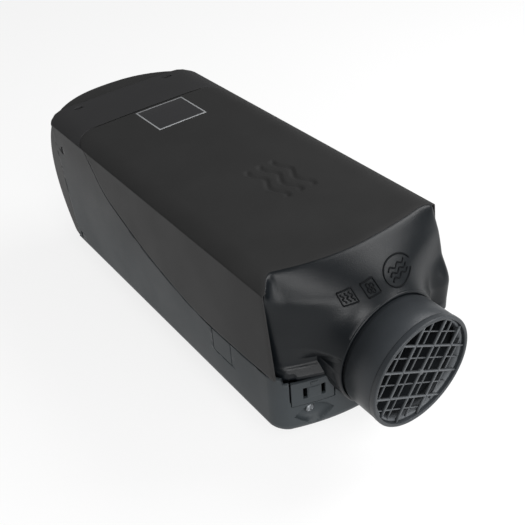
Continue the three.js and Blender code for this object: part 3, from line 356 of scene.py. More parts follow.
def moulded(name, colour, worn, roughness, grain, depth, shine, foot=None):
    """Plastic moulded in a spark-eroded tool, with a grain of a size in mm and a depth: its soft sheen breaks
    up into small sparkles, and rubbed patches are a little paler. shine is how much it reflects, and foot a
    colour that it fades to from 110 mm down to 40 mm above the gasket: painted light, a paler foot that
    stands in for the light the white floor throws up onto the lower walls."""
    made, tree = new_material(name)
    place = add_node(tree, "ShaderNodeTexCoord").outputs["Object"]
    spots = add_node(tree, "ShaderNodeTexNoise", Vector=place, Scale=1000 / grain, Detail=3.0, Roughness=0.6)
    patches = dict(Scale=1000 / PATCH, Detail=4.0, Roughness=0.55)
    clouds = add_node(tree, "ShaderNodeTexNoise", Vector=place, **patches)
    rubbed = add_node(tree, "ShaderNodeMapRange", Value=clouds, From_Min=0.35, From_Max=0.75, To_Max=0.6)
    skin = add_node(tree, "ShaderNodeMix", COLOURS, i0=rubbed, i6=linear(colour), i7=linear(worn))
    # painted light: low down the colour fades to the paler foot colour, for light thrown up from the white
    # floor
    if foot:
        height = add_node(tree, "ShaderNodeSeparateXYZ", Vector=place).outputs[2]
        painted_floor_light_fade = dict(From_Min=0.04, From_Max=0.11, To_Min=1.0, To_Max=0.0)
        low = add_node(tree, "ShaderNodeMapRange", Value=height, **painted_floor_light_fade)
        skin = add_node(tree, "ShaderNodeMix", COLOURS, i0=low, i6=skin.outputs[2], i7=linear(foot))
    sheen = dict(From_Min=0.3, From_Max=0.7, To_Min=roughness - 0.04, To_Max=roughness + 0.05)
    rough = add_node(tree, "ShaderNodeMapRange", Value=clouds, **sheen)
    bumps = add_node(tree, "ShaderNodeBump", Height=spots, Strength=depth, Distance=0.2 * MM)
    finish = dict(Roughness=rough, IOR=1.5, Specular_IOR_Level=shine, Normal=bumps)
    shader = add_node(tree, "ShaderNodeBsdfPrincipled", Base_Color=skin.outputs[2], **finish)
    add_node(tree, "ShaderNodeOutputMaterial", Surface=shader)
    return made


# the cover's ABS is a dark grey with a soft, even sheen
black_abs = moulded("moulded_black_abs", "#282828", "#2f2f2f", 0.5, 0.9, 0.35, 0.15)
half_cross = spaced((0, 0.55, 0.018), (0.55, 1.0, 0.02), (1.0, 1.04, 0.005), (1.04, 2.0, 0.03))
cross = np.concatenate([-half_cross[:0:-1], half_cross])
along = spaced((0, 0.22, 0.02), (0.22, 0.52, 0.006), (0.52, 1, 0.02))
cover = cover_grid(along, cross, COVER_GAP)

# three rising heat waves, pressed into the top
MARK_X, MARK_Y = 12.0, -25.0
MARK_DEPTH, MARK_WIDTH, MARK_PITCH, MARK_LENGTH = 1.1, 3.2, 11.0, 44.0
MARK_SWAY, MARK_WAVE, MARK_END = 2.6, 24.0, 1.5
x, y, z = np.moveaxis(cover, -1, 0)
inside_mark = np.zeros_like(x)
for lane in (-1, 0, 1):
    wave = MARK_X + lane * MARK_PITCH + MARK_SWAY * np.sin((y - MARK_Y) * 2 * np.pi / MARK_WAVE)
    side_fade = np.clip(1.5 - np.abs(x - wave) / (MARK_WIDTH / 2), 0, 1)
    end_fade = np.clip((MARK_LENGTH / 2 - np.abs(y - MARK_Y)) / MARK_END + 0.5, 0, 1)
    inside_mark = np.maximum(inside_mark, np.minimum(side_fade, end_fade))
cover[..., 2] -= np.where(z > CREASE + 2, MARK_DEPTH * inside_mark, 0)
cover_piece = make_object("cover_moulding", *sheet(cover), black_abs, "heater_body", "black_plastic")

# the wall thins towards the wings' tips
vertices = cover_piece.data.vertices
places = np.empty(len(vertices) * 3, np.float32)
vertices.foreach_get("co", places)
x, y, z = places.reshape(-1, 3).astype(float).T / MM
share = np.where(np.abs(x) > HEAD_HALF - 2, np.clip((y - wing_front(z)) / TIP_LENGTH, 0, 1), 1)
thin = cover_piece.vertex_groups.new(name="wall")
for weight in np.unique(share):
    thin.add(np.flatnonzero(share == weight).tolist(), float(weight), "REPLACE")
wall = give_wall(cover_piece, WALL)
wall.vertex_group = "wall"
wall.thickness_vertex_group = TIP_SHARE
soft_edges(cover_piece, 0.3)
settle(cover_piece)
cover_piece.vertex_groups.clear()
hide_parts("upper_cover")

# ---------------------------------------------------------------- rating plate
# A plain anodised aluminium plate, 0.12 mm thick, stuck on the top near the rear seam: black with a bare
# silver border, and brushed to a low sheen.

PLATE_X, PLATE_Y, PLATE_THICK, PLATE_BORDER = (-13.5, 30.0), (93.5, 131.5), 0.12, 1.2
plate, tree = new_material("anodised_aluminium_plate")
place = add_node(tree, "ShaderNodeTexCoord").outputs["Object"]
sides = add_node(tree, "ShaderNodeSeparateXYZ", Vector=place).outputs
edges = []
for side, (low_end, high_end) in zip(sides, (PLATE_X, PLATE_Y)):
    middle, inner = (low_end + high_end) / 2 * MM, ((high_end - low_end) / 2 - PLATE_BORDER) * MM
    off_middle = add_node(tree, "ShaderNodeMath", {"operation": "SUBTRACT"}, i0=side, i1=middle)
    off_middle = add_node(tree, "ShaderNodeMath", {"operation": "ABSOLUTE"}, i0=off_middle)
    edges.append(add_node(tree, "ShaderNodeMath", {"operation": "GREATER_THAN"}, i0=off_middle, i1=inner))
border = add_node(tree, "ShaderNodeMath", {"operation": "MAXIMUM"}, i0=edges[0], i1=edges[1])
tint = add_node(tree, "ShaderNodeMix", COLOURS, i0=border, i6=linear("#3c3c3e"), i7=linear("#b9bbbd"))
brushed = add_node(tree, "ShaderNodeTexNoise", Vector=place, Scale=1000 / 1.5, Detail=2.0)
rough = add_node(tree, "ShaderNodeMapRange", Value=brushed, To_Min=0.35, To_Max=0.5)
shader = add_node(tree, "ShaderNodeBsdfPrincipled", Base_Color=tint.outputs[2], Metallic=0.6, Roughness=rough)
add_node(tree, "ShaderNodeOutputMaterial", Surface=shader)
grid_x, grid_y = np.meshgrid(np.linspace(*PLATE_X, 24), np.linspace(*PLATE_Y, 4), indexing="ij")
plate_top = np.stack([grid_x, grid_y, roof_height(grid_x) + PLATE_THICK], -1)
plate_piece = make_object("rating_plate", *sheet(plate_top), plate, "heater_body", "black_plastic")
give_wall(plate_piece, PLATE_THICK + 0.2)
soft_edges(plate_piece, 0.05)

# ---------------------------------------------------------------- outlet hood
# A second moulding, glass-filled nylon, closes the front above the base. Its face slopes forward into a
# ledge and swells out to a collar that the nozzle turns in; it slips between the cover's wings.

FIT = 0.3  # clearance between mouldings
HOOD_HALF = 67.0 - FIT
NOZZLE_OUTER = 39.3
COLLAR_INNER, COLLAR_OUTER = NOZZLE_OUTER - 0.7, NOZZLE_OUTER + 1.5
COLLAR_FRONT, COLLAR_BACK = -146.5, -121.0
LEDGE_NOSE, LEDGE_BOTTOM, LEDGE_LEFT_BOW, LEDGE_RIGHT_BOW = -141.0, 54.0, 126.0, 600.0
HOOD_CREST = TOP - 0.3
LEDGE_CORNER, TOP_CORNER, LEDGE_NARROWER = 5.5, 3.0, 1.6
FLARE_FADE, ROLL_FADE = 36.0, 50.0  # drops over which the flare and the shoulder's roll die out
STEP_START, STEP_TOP, STEP_DEPTH = 56.5, 57.8, 1.2  # the ledge's lip stops short of its ends
FULL_START, FULL_END, FULL_TOP, FULL_DROP = 42.0, 60.0, 94.0, 20.0  # the right end stands out with the ledge
SWELL_FOOT, SWELL_BREADTH, SWELL_TOP, SWELL_DROP = 66.0, 1.3, 112.0, 46.0
SWELL_WEAK, SWELL_STRONG, SWELL_END = 1.3, 4.7, 0.8  # its powers, and how far behind the collar's rim it ends
HOOD_WALL = 2.2
# glass-filled nylon is blacker than the ABS and a little glossier
hood_nylon = moulded("moulded_black_nylon", "#0d1013", "#13171a", 0.33, 0.8, 0.4, 0.22)
face_knots = np.array(
    [
        [HOOD_TOP, HOOD_CREST],
        [HOOD_TOP - 1.2, HOOD_CREST - 0.5],
        [HOOD_TOP - 2.4, HOOD_CREST - 2.2],
        [-120.6, 119.5],
        [-123.0, 114.5],
        [-126.2, 107.5],
        [-129.6, 98.0],
        [-132.2, 88.0],
        [-133.6, 78.0],
        [-134.4, 70.0],
        [-134.8, 64.5],
        [-134.9, 62.2],
        [-135.5, 61.3],
        [-136.5, 60.9],
        [-137.1, 60.4],
        [LEDGE_NOSE + 0.5, 56.7],
        [LEDGE_NOSE, 56.0],
        [LEDGE_NOSE, LEDGE_BOTTOM],
    ]
)
face_curve = smooth_line(face_knots, 900)
face_length = np.concatenate([[0], np.cumsum(np.hypot(*np.diff(face_curve, axis=0).T))])


def on_hood(x, s):
    """A place on the hood: s is the length down its face from the top edge, carried out to x along the bow.
    The top follows the shoulder and flares to the wings; the ledge is a little narrower and its ends rounder,
    and low on the right the face stands as far out as the ledge.
    Around the collar the face swells out: its share is the distance to the outline over the sum of that and
    the distance to the collar, to a power that grows on the way down."""
    y = np.interp(s, face_length, face_curve[:, 0])
    z = np.interp(s, face_length, face_curve[:, 1])
    drop = HOOD_CREST - z
    down = np.clip(drop / (HOOD_CREST - LEDGE_BOTTOM), 0, 1)
    narrow = np.clip(down * 1.5 - 0.35, 0, 1)
    place = x * (1 - LEDGE_NARROWER * narrow / HOOD_HALF)
    back = bowed(
        place, RIGHT_BOW + (LEDGE_RIGHT_BOW - RIGHT_BOW) * down, LEFT_BOW + (LEDGE_LEFT_BOW - LEFT_BOW) * down
    )
    corner = TOP_CORNER + (LEDGE_CORNER - TOP_CORNER) * narrow
    back += rounded_back(place, HOOD_HALF - LEDGE_NARROWER * narrow, corner) * (0.3 + 0.7 * narrow)
    flare = top_edge(place) - HOOD_TOP - bowed(place, RIGHT_BOW, LEFT_BOW)
    flare = flare * np.clip(1 - drop / FLARE_FADE, 0, 1) ** 2
    step = np.clip((np.abs(place) - STEP_START) / 0.8, 0, 1) * np.clip((STEP_TOP - z) / 0.6, 0, 1)
    y = y + back + flare + STEP_DEPTH * step
    full = eased((place - FULL_START) / (FULL_END - FULL_START)) * eased((FULL_TOP - z) / FULL_DROP)
    y = y + np.minimum(LEDGE_NOSE + 1 + back - y, 0) * full
    z_out = z + (roof_height(place) - TOP) * np.clip(1 - drop / ROLL_FADE, 0, 1)
    away = np.hypot(place, z_out - AXIS) - COLLAR_OUTER
    beside, above = HOOD_HALF - np.abs(place) + 0.02, np.maximum(drop, 0) + 0.02
    to_outline = SWELL_BREADTH * beside * above / (beside + above)
    steep = SWELL_WEAK + (SWELL_STRONG - SWELL_WEAK) * eased((SWELL_TOP - z) / SWELL_DROP)
    swell = (to_outline / (to_outline + np.maximum(away, 0))) ** steep * np.clip((z - SWELL_FOOT) / 10, 0, 1)
    return np.stack([place, y + (COLLAR_FRONT + SWELL_END - y) * np.where(away < 0, 1, swell), z_out], -1)


# rays from the nozzle's edge out to the hood's outline: up the left side, across the top, down the right
rim_radius = COLLAR_OUTER - 0.4
ring_start = np.degrees(np.arcsin((LEDGE_BOTTOM - AXIS) / rim_radius))
SIDE_COUNT, TOP_COUNT, CORNER_COUNT, CORNER_RUN = 70, 90, 20, 14.0
down_side = np.linspace(0, face_length[-1], SIDE_COUNT)
right_end = np.linspace(HOOD_HALF - CORNER_RUN, HOOD_HALF, CORNER_COUNT)
middle_run = np.linspace(CORNER_RUN - HOOD_HALF, HOOD_HALF - CORNER_RUN, TOP_COUNT)[1:-1]
across_top = np.concatenate([-right_end[-2::-1], middle_run, right_end[:-1]])
out_x = np.concatenate([np.full(SIDE_COUNT, -HOOD_HALF), across_top, np.full(SIDE_COUNT, HOOD_HALF)])
out_s = np.concatenate([down_side[::-1], np.zeros(len(across_top)), down_side])
walked = np.concatenate([[0], np.cumsum(np.hypot(np.diff(out_x), np.diff(out_s)))])
bearing = np.radians(180 - ring_start + (walked / walked[-1]) * (2 * ring_start - 180))
rim_x = rim_radius * np.cos(bearing)
rim_s = np.interp(-AXIS - rim_radius * np.sin(bearing), -face_curve[:, 1], face_length)
reach = spaced((0, 0.16, 0.016), (0.16, 0.6, 0.035), (0.6, 0.85, 0.022), (0.85, 1, 0.01))[:, None]
hood = on_hood(rim_x + (out_x - rim_x) * reach, rim_s + (out_s - rim_s) * reach)
# the sides turn back inside the wings
is_side = (out_s > 4) & (np.abs(out_x) > HOOD_HALF - 1)
turned = [hood[-1] + [0, step, 0] * is_side[:, None] for step in (1.5, 6.0, 14.0)]
hood = np.concatenate([hood, turned])
hood_piece = make_object("hood_moulding", *sheet(hood), hood_nylon, "heater_body", "hood_plastic")
give_wall(hood_piece, HOOD_WALL, (0, -60, AXIS))
soft_edges(hood_piece, 0.25)
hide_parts("outlet_hood")

# ---------------------------------------------------------------- hood signs
# Signs for heat, fan and air flow stand 0.55 mm proud of the hood's face. They are moulded in one with it, in
# the same nylon, with a coarse matt grain that shows them up against the sheen around them.

SIGN_HEIGHT, SIGN_WIDTH = 0.55, 0.9
SIGN_BOX, WAVE_STEP, WAVE_SWAY, BLADE, BLADE_OUT = np.array([4.6, 3.8]), 2.6, 0.7, 1.05, 1.75
RING_ACROSS, RING_UP, FLOW_HALF = 12.5, 7.2, 8.0
HEAT_SIGN, FAN_SIGN, AIR_SIGN, SIGN_TILT = (-23.3, 20.4), (-8.2, 19.1), (15.6, 18.7), np.radians(7)
sign_nylon = moulded("textured_sign_nylon", "#0a0c0e", "#0f1113", 0.65, 0.5, 0.6, 0.08)


def raised_line(path):
    """A bead on the hood's face along a path of (x, length down the face): a half-round section is carried
    along it, square to the face."""
    run = np.gradient(path, axis=0)
    run /= np.maximum(np.hypot(*run.T), 1e-6)[:, None]
    side = np.stack([-run[:, 1], run[:, 0]], -1) * SIGN_WIDTH
    across = np.array([-0.5, -0.5, -0.3, 0.3, 0.5, 0.5, -0.5])[:, None]
    up = np.array([-0.3, 0.5, 1, 1, 0.5, -0.3, -0.3])[:, None]
    x, s = np.moveaxis(path[:, None] + side[:, None] * across, -1, 0)
    here = on_hood(x, s)
    out = np.cross(on_hood(x + 0.2, s) - here, here - on_hood(x, s + 0.2))
    out /= np.linalg.norm(out, axis=-1, keepdims=True)
    out *= np.where(out[..., 1:2] > 0, -1, 1)
    return here + out * up * SIGN_HEIGHT


def sign_path(across, up, centre, tilt=0.0):
    """A stroke drawn upright in mm, set on the face around a centre (x, s) and turned by a tilt."""
    c, n = np.cos(tilt), np.sin(tilt)
    return np.stack([centre[0] + across * c - up * n, centre[1] - across * n - up * c], -1)


def closed_rod(grid):
    """Points and faces of a rod: a grid whose rows run round a closed section, with both ends filled."""
    points, faces = sheet(grid)
    first = np.arange(grid.shape[1] - 1)
    last = first[::-1] + len(points) - grid.shape[1]
    return points, [*faces, first, last]


def merged(parts):
    """The points and the faces of several parts as one list each."""
    starts = np.cumsum([0] + [len(points) for points, _ in parts])
    faces = [np.asarray(face) + start for start, part in zip(starts, parts) for face in part[1]]
    return np.concatenate([points for points, _ in parts]), faces


corners = SIGN_BOX * [[-1, -1], [1, -1], [1, 1], [-1, 1], [-1, -1]]
strokes = []
for centre in (HEAT_SIGN, FAN_SIGN):
    for a, b in zip(corners[:-1], corners[1:]):
        strokes.append(sign_path(*np.linspace(a, b, 10).T, centre, SIGN_TILT))
rise = np.linspace(-WAVE_STEP, WAVE_STEP, 14)
for lane in (-WAVE_STEP, 0, WAVE_STEP):
    strokes.append(sign_path(lane + WAVE_SWAY * np.sin(rise * 2.4), rise, HEAT_SIGN, SIGN_TILT))
turn = np.linspace(0, 2 * np.pi, 13)
for angle in np.arange(4) * np.pi / 2 + 0.5:
    loop_x = np.cos(angle) * BLADE_OUT + np.cos(turn) * BLADE
    loop_up = np.sin(angle) * BLADE_OUT + np.sin(turn) * BLADE
    strokes.append(sign_path(loop_x, loop_up, FAN_SIGN, SIGN_TILT))
turn = np.linspace(0.2, 2 * np.pi - 0.5, 40)
strokes.append(sign_path(np.cos(turn) * RING_ACROSS, np.sin(turn) * RING_UP, AIR_SIGN))
flow = np.linspace(-FLOW_HALF, FLOW_HALF, 24)
for lane in (-WAVE_STEP, 0, WAVE_STEP):
    strokes.append(sign_path(flow, lane + WAVE_SWAY * np.sin(flow * 0.9), AIR_SIGN))
beads = merged([closed_rod(raised_line(stroke)) for stroke in strokes])
make_object("hood_signs", *beads, sign_nylon, "heater_body", "hood_plastic")

# ---------------------------------------------------------------- hood collar
# A ring in which the nozzle turns, moulded in one with the hood and in the same nylon. Its rim is rounded,
# and the hood's face swells out to meet it.


def revolved(profile, count, centre_z=AXIS):
    """A closed profile of (radius, y) turned a full circle about an axis along Y."""
    angle = np.linspace(0, 2 * np.pi, count + 1)[:, None]
    radius, y = np.asarray(profile, float).T
    x, z = radius * np.cos(angle), centre_z + radius * np.sin(angle)
    return np.stack(np.broadcast_arrays(x, y, z), -1)


collar_profile = [
    [COLLAR_INNER, COLLAR_BACK],
    [COLLAR_INNER, COLLAR_FRONT + 0.5],
    [COLLAR_INNER + 0.4, COLLAR_FRONT],
    [COLLAR_OUTER - 0.9, COLLAR_FRONT],
    [COLLAR_OUTER - 0.3, COLLAR_FRONT + 0.25],
    [COLLAR_OUTER, COLLAR_FRONT + 0.9],
    [COLLAR_OUTER, COLLAR_BACK],
    [COLLAR_INNER, COLLAR_BACK],
]
collar = sheet(revolved(collar_profile, 160))
make_object("hood_collar", *collar, hood_nylon, "heater_body", "hood_plastic")

# ---------------------------------------------------------------- nozzle
# A short nylon tube for 75 mm ducting, with a raised lip that a hose clamp holds behind. It turns in the
# collar on bayonet lugs.

NOZZLE_FRONT, NOZZLE_BACK, NOZZLE_INNER, LIP_OUTER = -175.0, -119.0, 36.9, 39.6
GROOVE = 2.2  # a groove in front of the collar, where the nozzle steps down to turn in it
# the nozzle's nylon is greyer, with a drier sheen
nozzle_nylon = moulded("moulded_nozzle_nylon", "#2b2e31", "#33373b", 0.42, 0.8, 0.45, 0.35)


def corner_arc(centre, radius, start, end, count):
    """Points on a circle between two angles in degrees, both ends included."""
    angles = np.radians(np.linspace(start, end, count))
    return np.stack([centre[0] + radius * np.cos(angles), centre[1] + radius * np.sin(angles)], -1)


nozzle_profile = np.concatenate(
    [
        [[NOZZLE_INNER, NOZZLE_BACK], [NOZZLE_INNER, NOZZLE_FRONT + 6]],
        [[NOZZLE_INNER + 0.1, NOZZLE_FRONT + 1.6]],
        corner_arc((NOZZLE_INNER + 0.9, NOZZLE_FRONT + 0.8), 0.8, 180, 270, 6),
        corner_arc((LIP_OUTER - 1.0, NOZZLE_FRONT + 1.0), 1.0, 270, 360, 7),
        [[LIP_OUTER, NOZZLE_FRONT + 2.6]],
        corner_arc((LIP_OUTER - 1.0, NOZZLE_FRONT + 3.6), 1.0, 0, 55, 5),
        [[NOZZLE_OUTER, NOZZLE_FRONT + 4.6], [NOZZLE_OUTER, NOZZLE_FRONT + 12]],
        [[NOZZLE_OUTER, COLLAR_FRONT - GROOVE - 0.4], [NOZZLE_OUTER - 0.4, COLLAR_FRONT - GROOVE]],
        [[COLLAR_INNER - FIT, COLLAR_FRONT - GROOVE + 0.4], [COLLAR_INNER - FIT, NOZZLE_BACK]],
        [[NOZZLE_INNER, NOZZLE_BACK]],
    ]
)
nozzle = sheet(revolved(nozzle_profile, 144))
nozzle_piece = make_object("nozzle_tube", *nozzle, nozzle_nylon, "heater_body", "hood_plastic")
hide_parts("outlet_nozzle")

# ---------------------------------------------------------------- outlet grille
# A moulded lattice stops fingers reaching the hot fins. Three strong bars each way lie flush, weaker ones
# run midway behind them, and the whole lattice is turned with the nozzle's bayonet.

GRILLE_TURN = np.radians(-31)
GRILLE_PITCH, GRILLE_FRONT = 18.4, NOZZLE_FRONT + 1.0
STRONG_WIDTH, STRONG_DEPTH, WEAK_WIDTH, WEAK_STEP, WEAK_DEPTH = 1.1, 1.8, 0.65, 1.5, 1.2
RING_WIDTH, RING_BACK, KNOT = 1.4, 9.0, 1.9
# the lattice gets a paler grey and a duller sheen than the hood
grille_nylon = moulded("moulded_grille_nylon", "#4e5154", "#5a5d60", 0.5, 0.8, 0.3, 0.4)


def lattice_bar(place, upright_bar, width, y_front, depth):
    """One bar: a rounded-front section carried straight across the bore, ending on the bore's wall."""
    half = np.sqrt((NOZZLE_INNER - 0.2) ** 2 - place**2)
    w, y_back = width / 2, y_front + depth
    across = place + np.array([-w, -w, -w * 0.6, w * 0.6, w, w, -w])
    y = np.array([y_back, y_front + 0.35, y_front, y_front, y_front + 0.35, y_back, y_back])
    ends, across, y = np.broadcast_arrays(np.linspace(-half, half, 13)[:, None], across, y)
    u, v = (across, ends) if upright_bar else (ends, across)
    c, s = np.cos(GRILLE_TURN), np.sin(GRILLE_TURN)
    return np.stack([u * c - v * s, y, AXIS + u * s + v * c], -1)


strong = (STRONG_WIDTH, GRILLE_FRONT, STRONG_DEPTH)
weak = (WEAK_WIDTH, GRILLE_FRONT + WEAK_STEP, WEAK_DEPTH)
lattice = []
for steps, form in (((-1, 0, 1), strong), ((-1.5, -0.5, 0.5, 1.5), weak)):
    for i in steps:
        lattice += [closed_rod(lattice_bar(i * GRILLE_PITCH, way, *form)) for way in (False, True)]
# the knot where the middle bars cross, and the ring that carries the bars
knot_y = GRILLE_FRONT + np.array([-0.4, -0.4, 0, 2, 2])
lattice.append(sheet(revolved(np.stack([[0, KNOT - 0.4, KNOT, KNOT, 0], knot_y], -1), 20)))
ring_outer = NOZZLE_INNER - 0.2
ring_inner = ring_outer - RING_WIDTH
ring_y = GRILLE_FRONT + np.array([1.5, 1.8, RING_BACK, RING_BACK, 1.5])
ring_radius = [ring_outer, ring_inner, ring_inner, ring_outer, ring_outer]
lattice.append(sheet(revolved(np.stack([ring_radius, ring_y], -1), 96)))
grille_piece = make_object("grille_lattice", *merged(lattice), grille_nylon, "heater_body", "hood_plastic")
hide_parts("outlet_grille")

# ---------------------------------------------------------------- lower casing
# The base is one ABS moulding that carries everything: a bowed front wall under the ledge, long sides up to
# the sweeping parting line and, behind it, a full collar for the intake grille. The opening for the mounting
# pad is moulded in.

FRONT_NOSE, FRONT_BOW, FRONT_ROUND = -138.5, 140.0, 9.0
REAR_SEAM, REAR_ROUND = 183.0, 18.0
WALL_TOP, TONGUE_ROOT, TAB_ROOT = 53.0, 33.0, 36.0
TONGUE_LEFT, TONGUE_RIGHT, TAB_FRONT, TAB_BACK, SLIT = -62.0, -35.0, -72.0, -51.0, 0.8
PAD_HALF, PAD_FRONT, PAD_BACK = 37.0, -53.0, 56.0
SCOOP_X, SCOOP_Z, SCOOP_HALF_WIDTH, SCOOP_HALF_HEIGHT, SCOOP_DEPTH = -48.0, 23.5, 12.5, 8.5, 6.0
HOOK_X, HOOK_Y, HOOK_SIDE_Y, HOOK_SIDE_Z = 43.0, 175.0, 160.0, (20.0, 103.0)
HOOK_HALF, HOOK_SIDE_HALF, HOOK_THICK, HOOK_PLAY = 3.2, 2.7, 1.1, 0.2
THROUGH = np.array([60.0, 100.0])  # from inside a side wall to outside it
GROMMET_Y, GROMMET_Z, GROMMET_HOLE = 108.0, 40.0, 9.0
# the base's ABS reflects a little more than the cover's, and is painted paler towards its foot as painted
# light from the white floor
base_abs = moulded("moulded_base_abs", "#282829", "#2f2f30", 0.5, 0.9, 0.35, 0.25, "#373c3f")


def front_place(x):
    """Where the front wall stands at x: bowed, then rounded back at its ends."""
    return FRONT_NOSE + x**2 / (2 * FRONT_BOW) + rounded_back(x, FOOT_HALF, FRONT_ROUND)


def base_outline(u, inset):
    """Plan places of the base's front, drawn in by an inset: u runs over the bowed wall from -1 to 1, and on
    to -2 and 2 round the corners' arcs."""
    v = np.clip(u, -1, 1)
    angle = np.clip(np.abs(u) - 1, 0, 1) * np.pi / 2
    flat = FOOT_HALF - FRONT_ROUND
    outer_x = np.abs(v) * flat + FRONT_ROUND * np.sin(angle)
    x = np.abs(v) * flat + (FRONT_ROUND - inset) * np.sin(angle)
    y = FRONT_NOSE + inset + outer_x**2 / (2 * FRONT_BOW) + (FRONT_ROUND - inset) * (1 - np.cos(angle))
    return np.sign(u) * x, y


# stations round the base: forward along the left side, across the front and back along the right side
flat_half = FOOT_HALF - FRONT_ROUND
corner_u = spaced((1, 2, 0.06))
wall_u = (
    spaced(
        (-flat_half, TONGUE_RIGHT - SLIT + 1.6, 0.55),
        (TONGUE_RIGHT + SLIT, -34, 0.2),
        (-34, -26, 1.5),
        (-26, 26, 2.6),
        (26, 36, 1.5),
        (36, 41, 0.3),
        (41, flat_half, 1.6),
    )
    / flat_half
)
collar_u = np.linspace(-41, -36, 18) / flat_half
gap_left = -1 - np.arcsin((SLIT - TONGUE_LEFT - flat_half) / FRONT_ROUND) / (np.pi / 2)
gap_right = (TONGUE_RIGHT + SLIT) / flat_half
front_u = np.concatenate([-corner_u, wall_u, corner_u, collar_u, [gap_left, gap_right]])
front_u = np.unique(np.round(front_u, 6))
corner_end = base_outline(2.0, 0.0)[1]
side_y = spaced(
    (corner_end, TAB_FRONT - SLIT, 4), (TAB_FRONT - SLIT, TAB_BACK + SLIT, 2), (TAB_BACK + SLIT, PAD_BACK, 4)
)[1:]
on_side, on_front = np.ones(len(side_y)), np.zeros(len(front_u))
side = np.concatenate([-on_side, on_front, on_side])
is_front = side == 0
u = np.concatenate([0 * on_side, front_u, 0 * on_side])
along_side = np.concatenate([side_y[::-1], on_front, side_y])
outer_x, outer_y = base_outline(u, 0.0)
outer_x = np.where(is_front, outer_x, side * FOOT_HALF)
outer_y = np.where(is_front, outer_y, along_side)

# rows down the wall, from its top edge to the round at the foot, then under to the pad opening
under_collar = AXIS - np.sqrt(np.maximum((COLLAR_OUTER + 0.4) ** 2 - outer_x**2, 0))
under_hood = is_front & (np.abs(outer_x) < HOOD_HALF + FIT)
wall_top = np.where(under_hood, np.minimum(WALL_TOP, under_collar), sweep_height(outer_y))
foot = BOTTOM + FOOT_ROUND
# a row runs along the roots of the tabs and one along the root of the tongue
high_break = np.minimum(TAB_ROOT, wall_top - 0.4)
low_break = np.minimum(TONGUE_ROOT, high_break - 0.3)
wall_z = np.concatenate(
    [
        wall_top + (high_break - wall_top) * np.linspace(0, 1, 15)[:, None],
        high_break + (low_break - high_break) * np.linspace(0, 1, 3)[1:, None],
        low_break + (foot - low_break) * np.linspace(0, 1, 33)[1:, None],
    ]
)
# the scoop has the outline of a lens and is hollowed out of the front to a rounded depth
lens = np.maximum(1 - ((outer_x - SCOOP_X) / SCOOP_HALF_WIDTH) ** 2, 0)
up = np.abs(wall_z - SCOOP_Z) / np.maximum(SCOOP_HALF_HEIGHT * lens, 1e-6)
scoop = SCOOP_DEPTH * np.sqrt(lens) * np.sqrt(np.maximum(1 - up**2, 0))
wall_rows = np.stack([outer_x * side_x(wall_z) / FOOT_HALF, outer_y + scoop * is_front, wall_z], -1)
angle = np.linspace(0, np.pi / 2, 8)[1:, None]
inset = FOOT_ROUND * (1 - np.cos(angle))
x, y = base_outline(u, inset)
x = np.where(is_front, x, side * (FOOT_HALF - inset))
y = np.where(is_front, y, along_side)
foot_rows = np.stack(np.broadcast_arrays(x, y, foot - FOOT_ROUND * np.sin(angle)), -1)
pad_x = np.where(is_front, np.clip(u, -1, 1), side) * PAD_HALF
pad_y = np.where(is_front, PAD_FRONT, np.clip(along_side, PAD_FRONT, PAD_BACK))
pad_edge = np.stack([pad_x, pad_y, foot_rows[-1, :, 2]], -1)
under_rows = foot_rows[-1] + (pad_edge - foot_rows[-1]) * np.linspace(0, 1, 9)[1:, None, None]
front_patch = np.concatenate([wall_rows, foot_rows, under_rows])
front_points, front_faces = sheet(front_patch)
face_x, face_y, face_z = front_points[front_faces].mean(1).T
in_gap = (face_x > TONGUE_LEFT - SLIT) & (face_x < TONGUE_RIGHT + SLIT) & (face_z > TONGUE_ROOT)
in_gap &= face_y < -100
front_faces = front_faces[~in_gap]

# rear collar: from the pad opening's back edge, up the side behind the sweep and over the top behind the seam
split_top = sweep_height(PAD_BACK)
roof = np.stack(section_points(spaced((0, 0.97, 0.08), (0.97, 1.0, 0.01)), split_top), -1)
flank = np.stack(section_points(spaced((1.0, 1.05, 0.006), (1.05, 2.0, 0.03))[1:], split_top), -1)
bottom = np.stack([np.linspace(PAD_HALF, 0, 9)[1:], np.full(8, BOTTOM)], -1)
last_station = front_patch[1:, -1, ::2]
half_ring = np.concatenate([roof, flank, last_station, bottom])
ring_x, ring_z = half_ring.T
index = np.arange(len(half_ring))
roof_front = SEAM - rounded_back(np.minimum(ring_x, HEAD_HALF), HEAD_HALF, SEAM_ROUND)
climb = np.minimum(sweep_place(np.maximum(ring_z, split_top)), roof_front)
ring_front = np.where(index < len(roof) + len(flank), climb, PAD_BACK)
ring_front = np.where(index < len(roof), roof_front, ring_front)[:, None]
ring_rear = REAR_SEAM - rounded_back(np.minimum(ring_x, FOOT_HALF), FOOT_HALF, REAR_ROUND)[:, None]
ring_y = ring_front + (ring_rear - ring_front) * spaced((0, 0.06, 0.02), (0.06, 0.94, 0.08), (0.94, 1, 0.03))
half_patch = np.stack(np.broadcast_arrays(ring_x[:, None], ring_y, ring_z[:, None]), -1)
rear_patch = np.concatenate([half_patch[::-1] * [-1, 1, 1], half_patch[1:]])
base_sheet = merged([(front_points, front_faces), sheet(rear_patch)])
base_piece = make_object("base_moulding", *base_sheet, base_abs, "heater_body", "black_plastic")
give_wall(base_piece, WALL, (0, 20, AXIS), False)
settle(base_piece)


def around(centre, half):
    """The two places at a distance either side of a centre."""
    return centre - half, centre + half


def box(x_ends, y_ends, z_ends):
    """Points and faces of a box between two places on each axis, given in either order."""
    corners = [(x, y, z) for x in sorted(x_ends) for y in sorted(y_ends) for z in sorted(z_ends)]
    return corners, [[0, 1, 3, 2], [4, 6, 7, 5], [0, 4, 5, 1], [2, 3, 7, 6], [0, 2, 6, 4], [1, 5, 7, 3]]


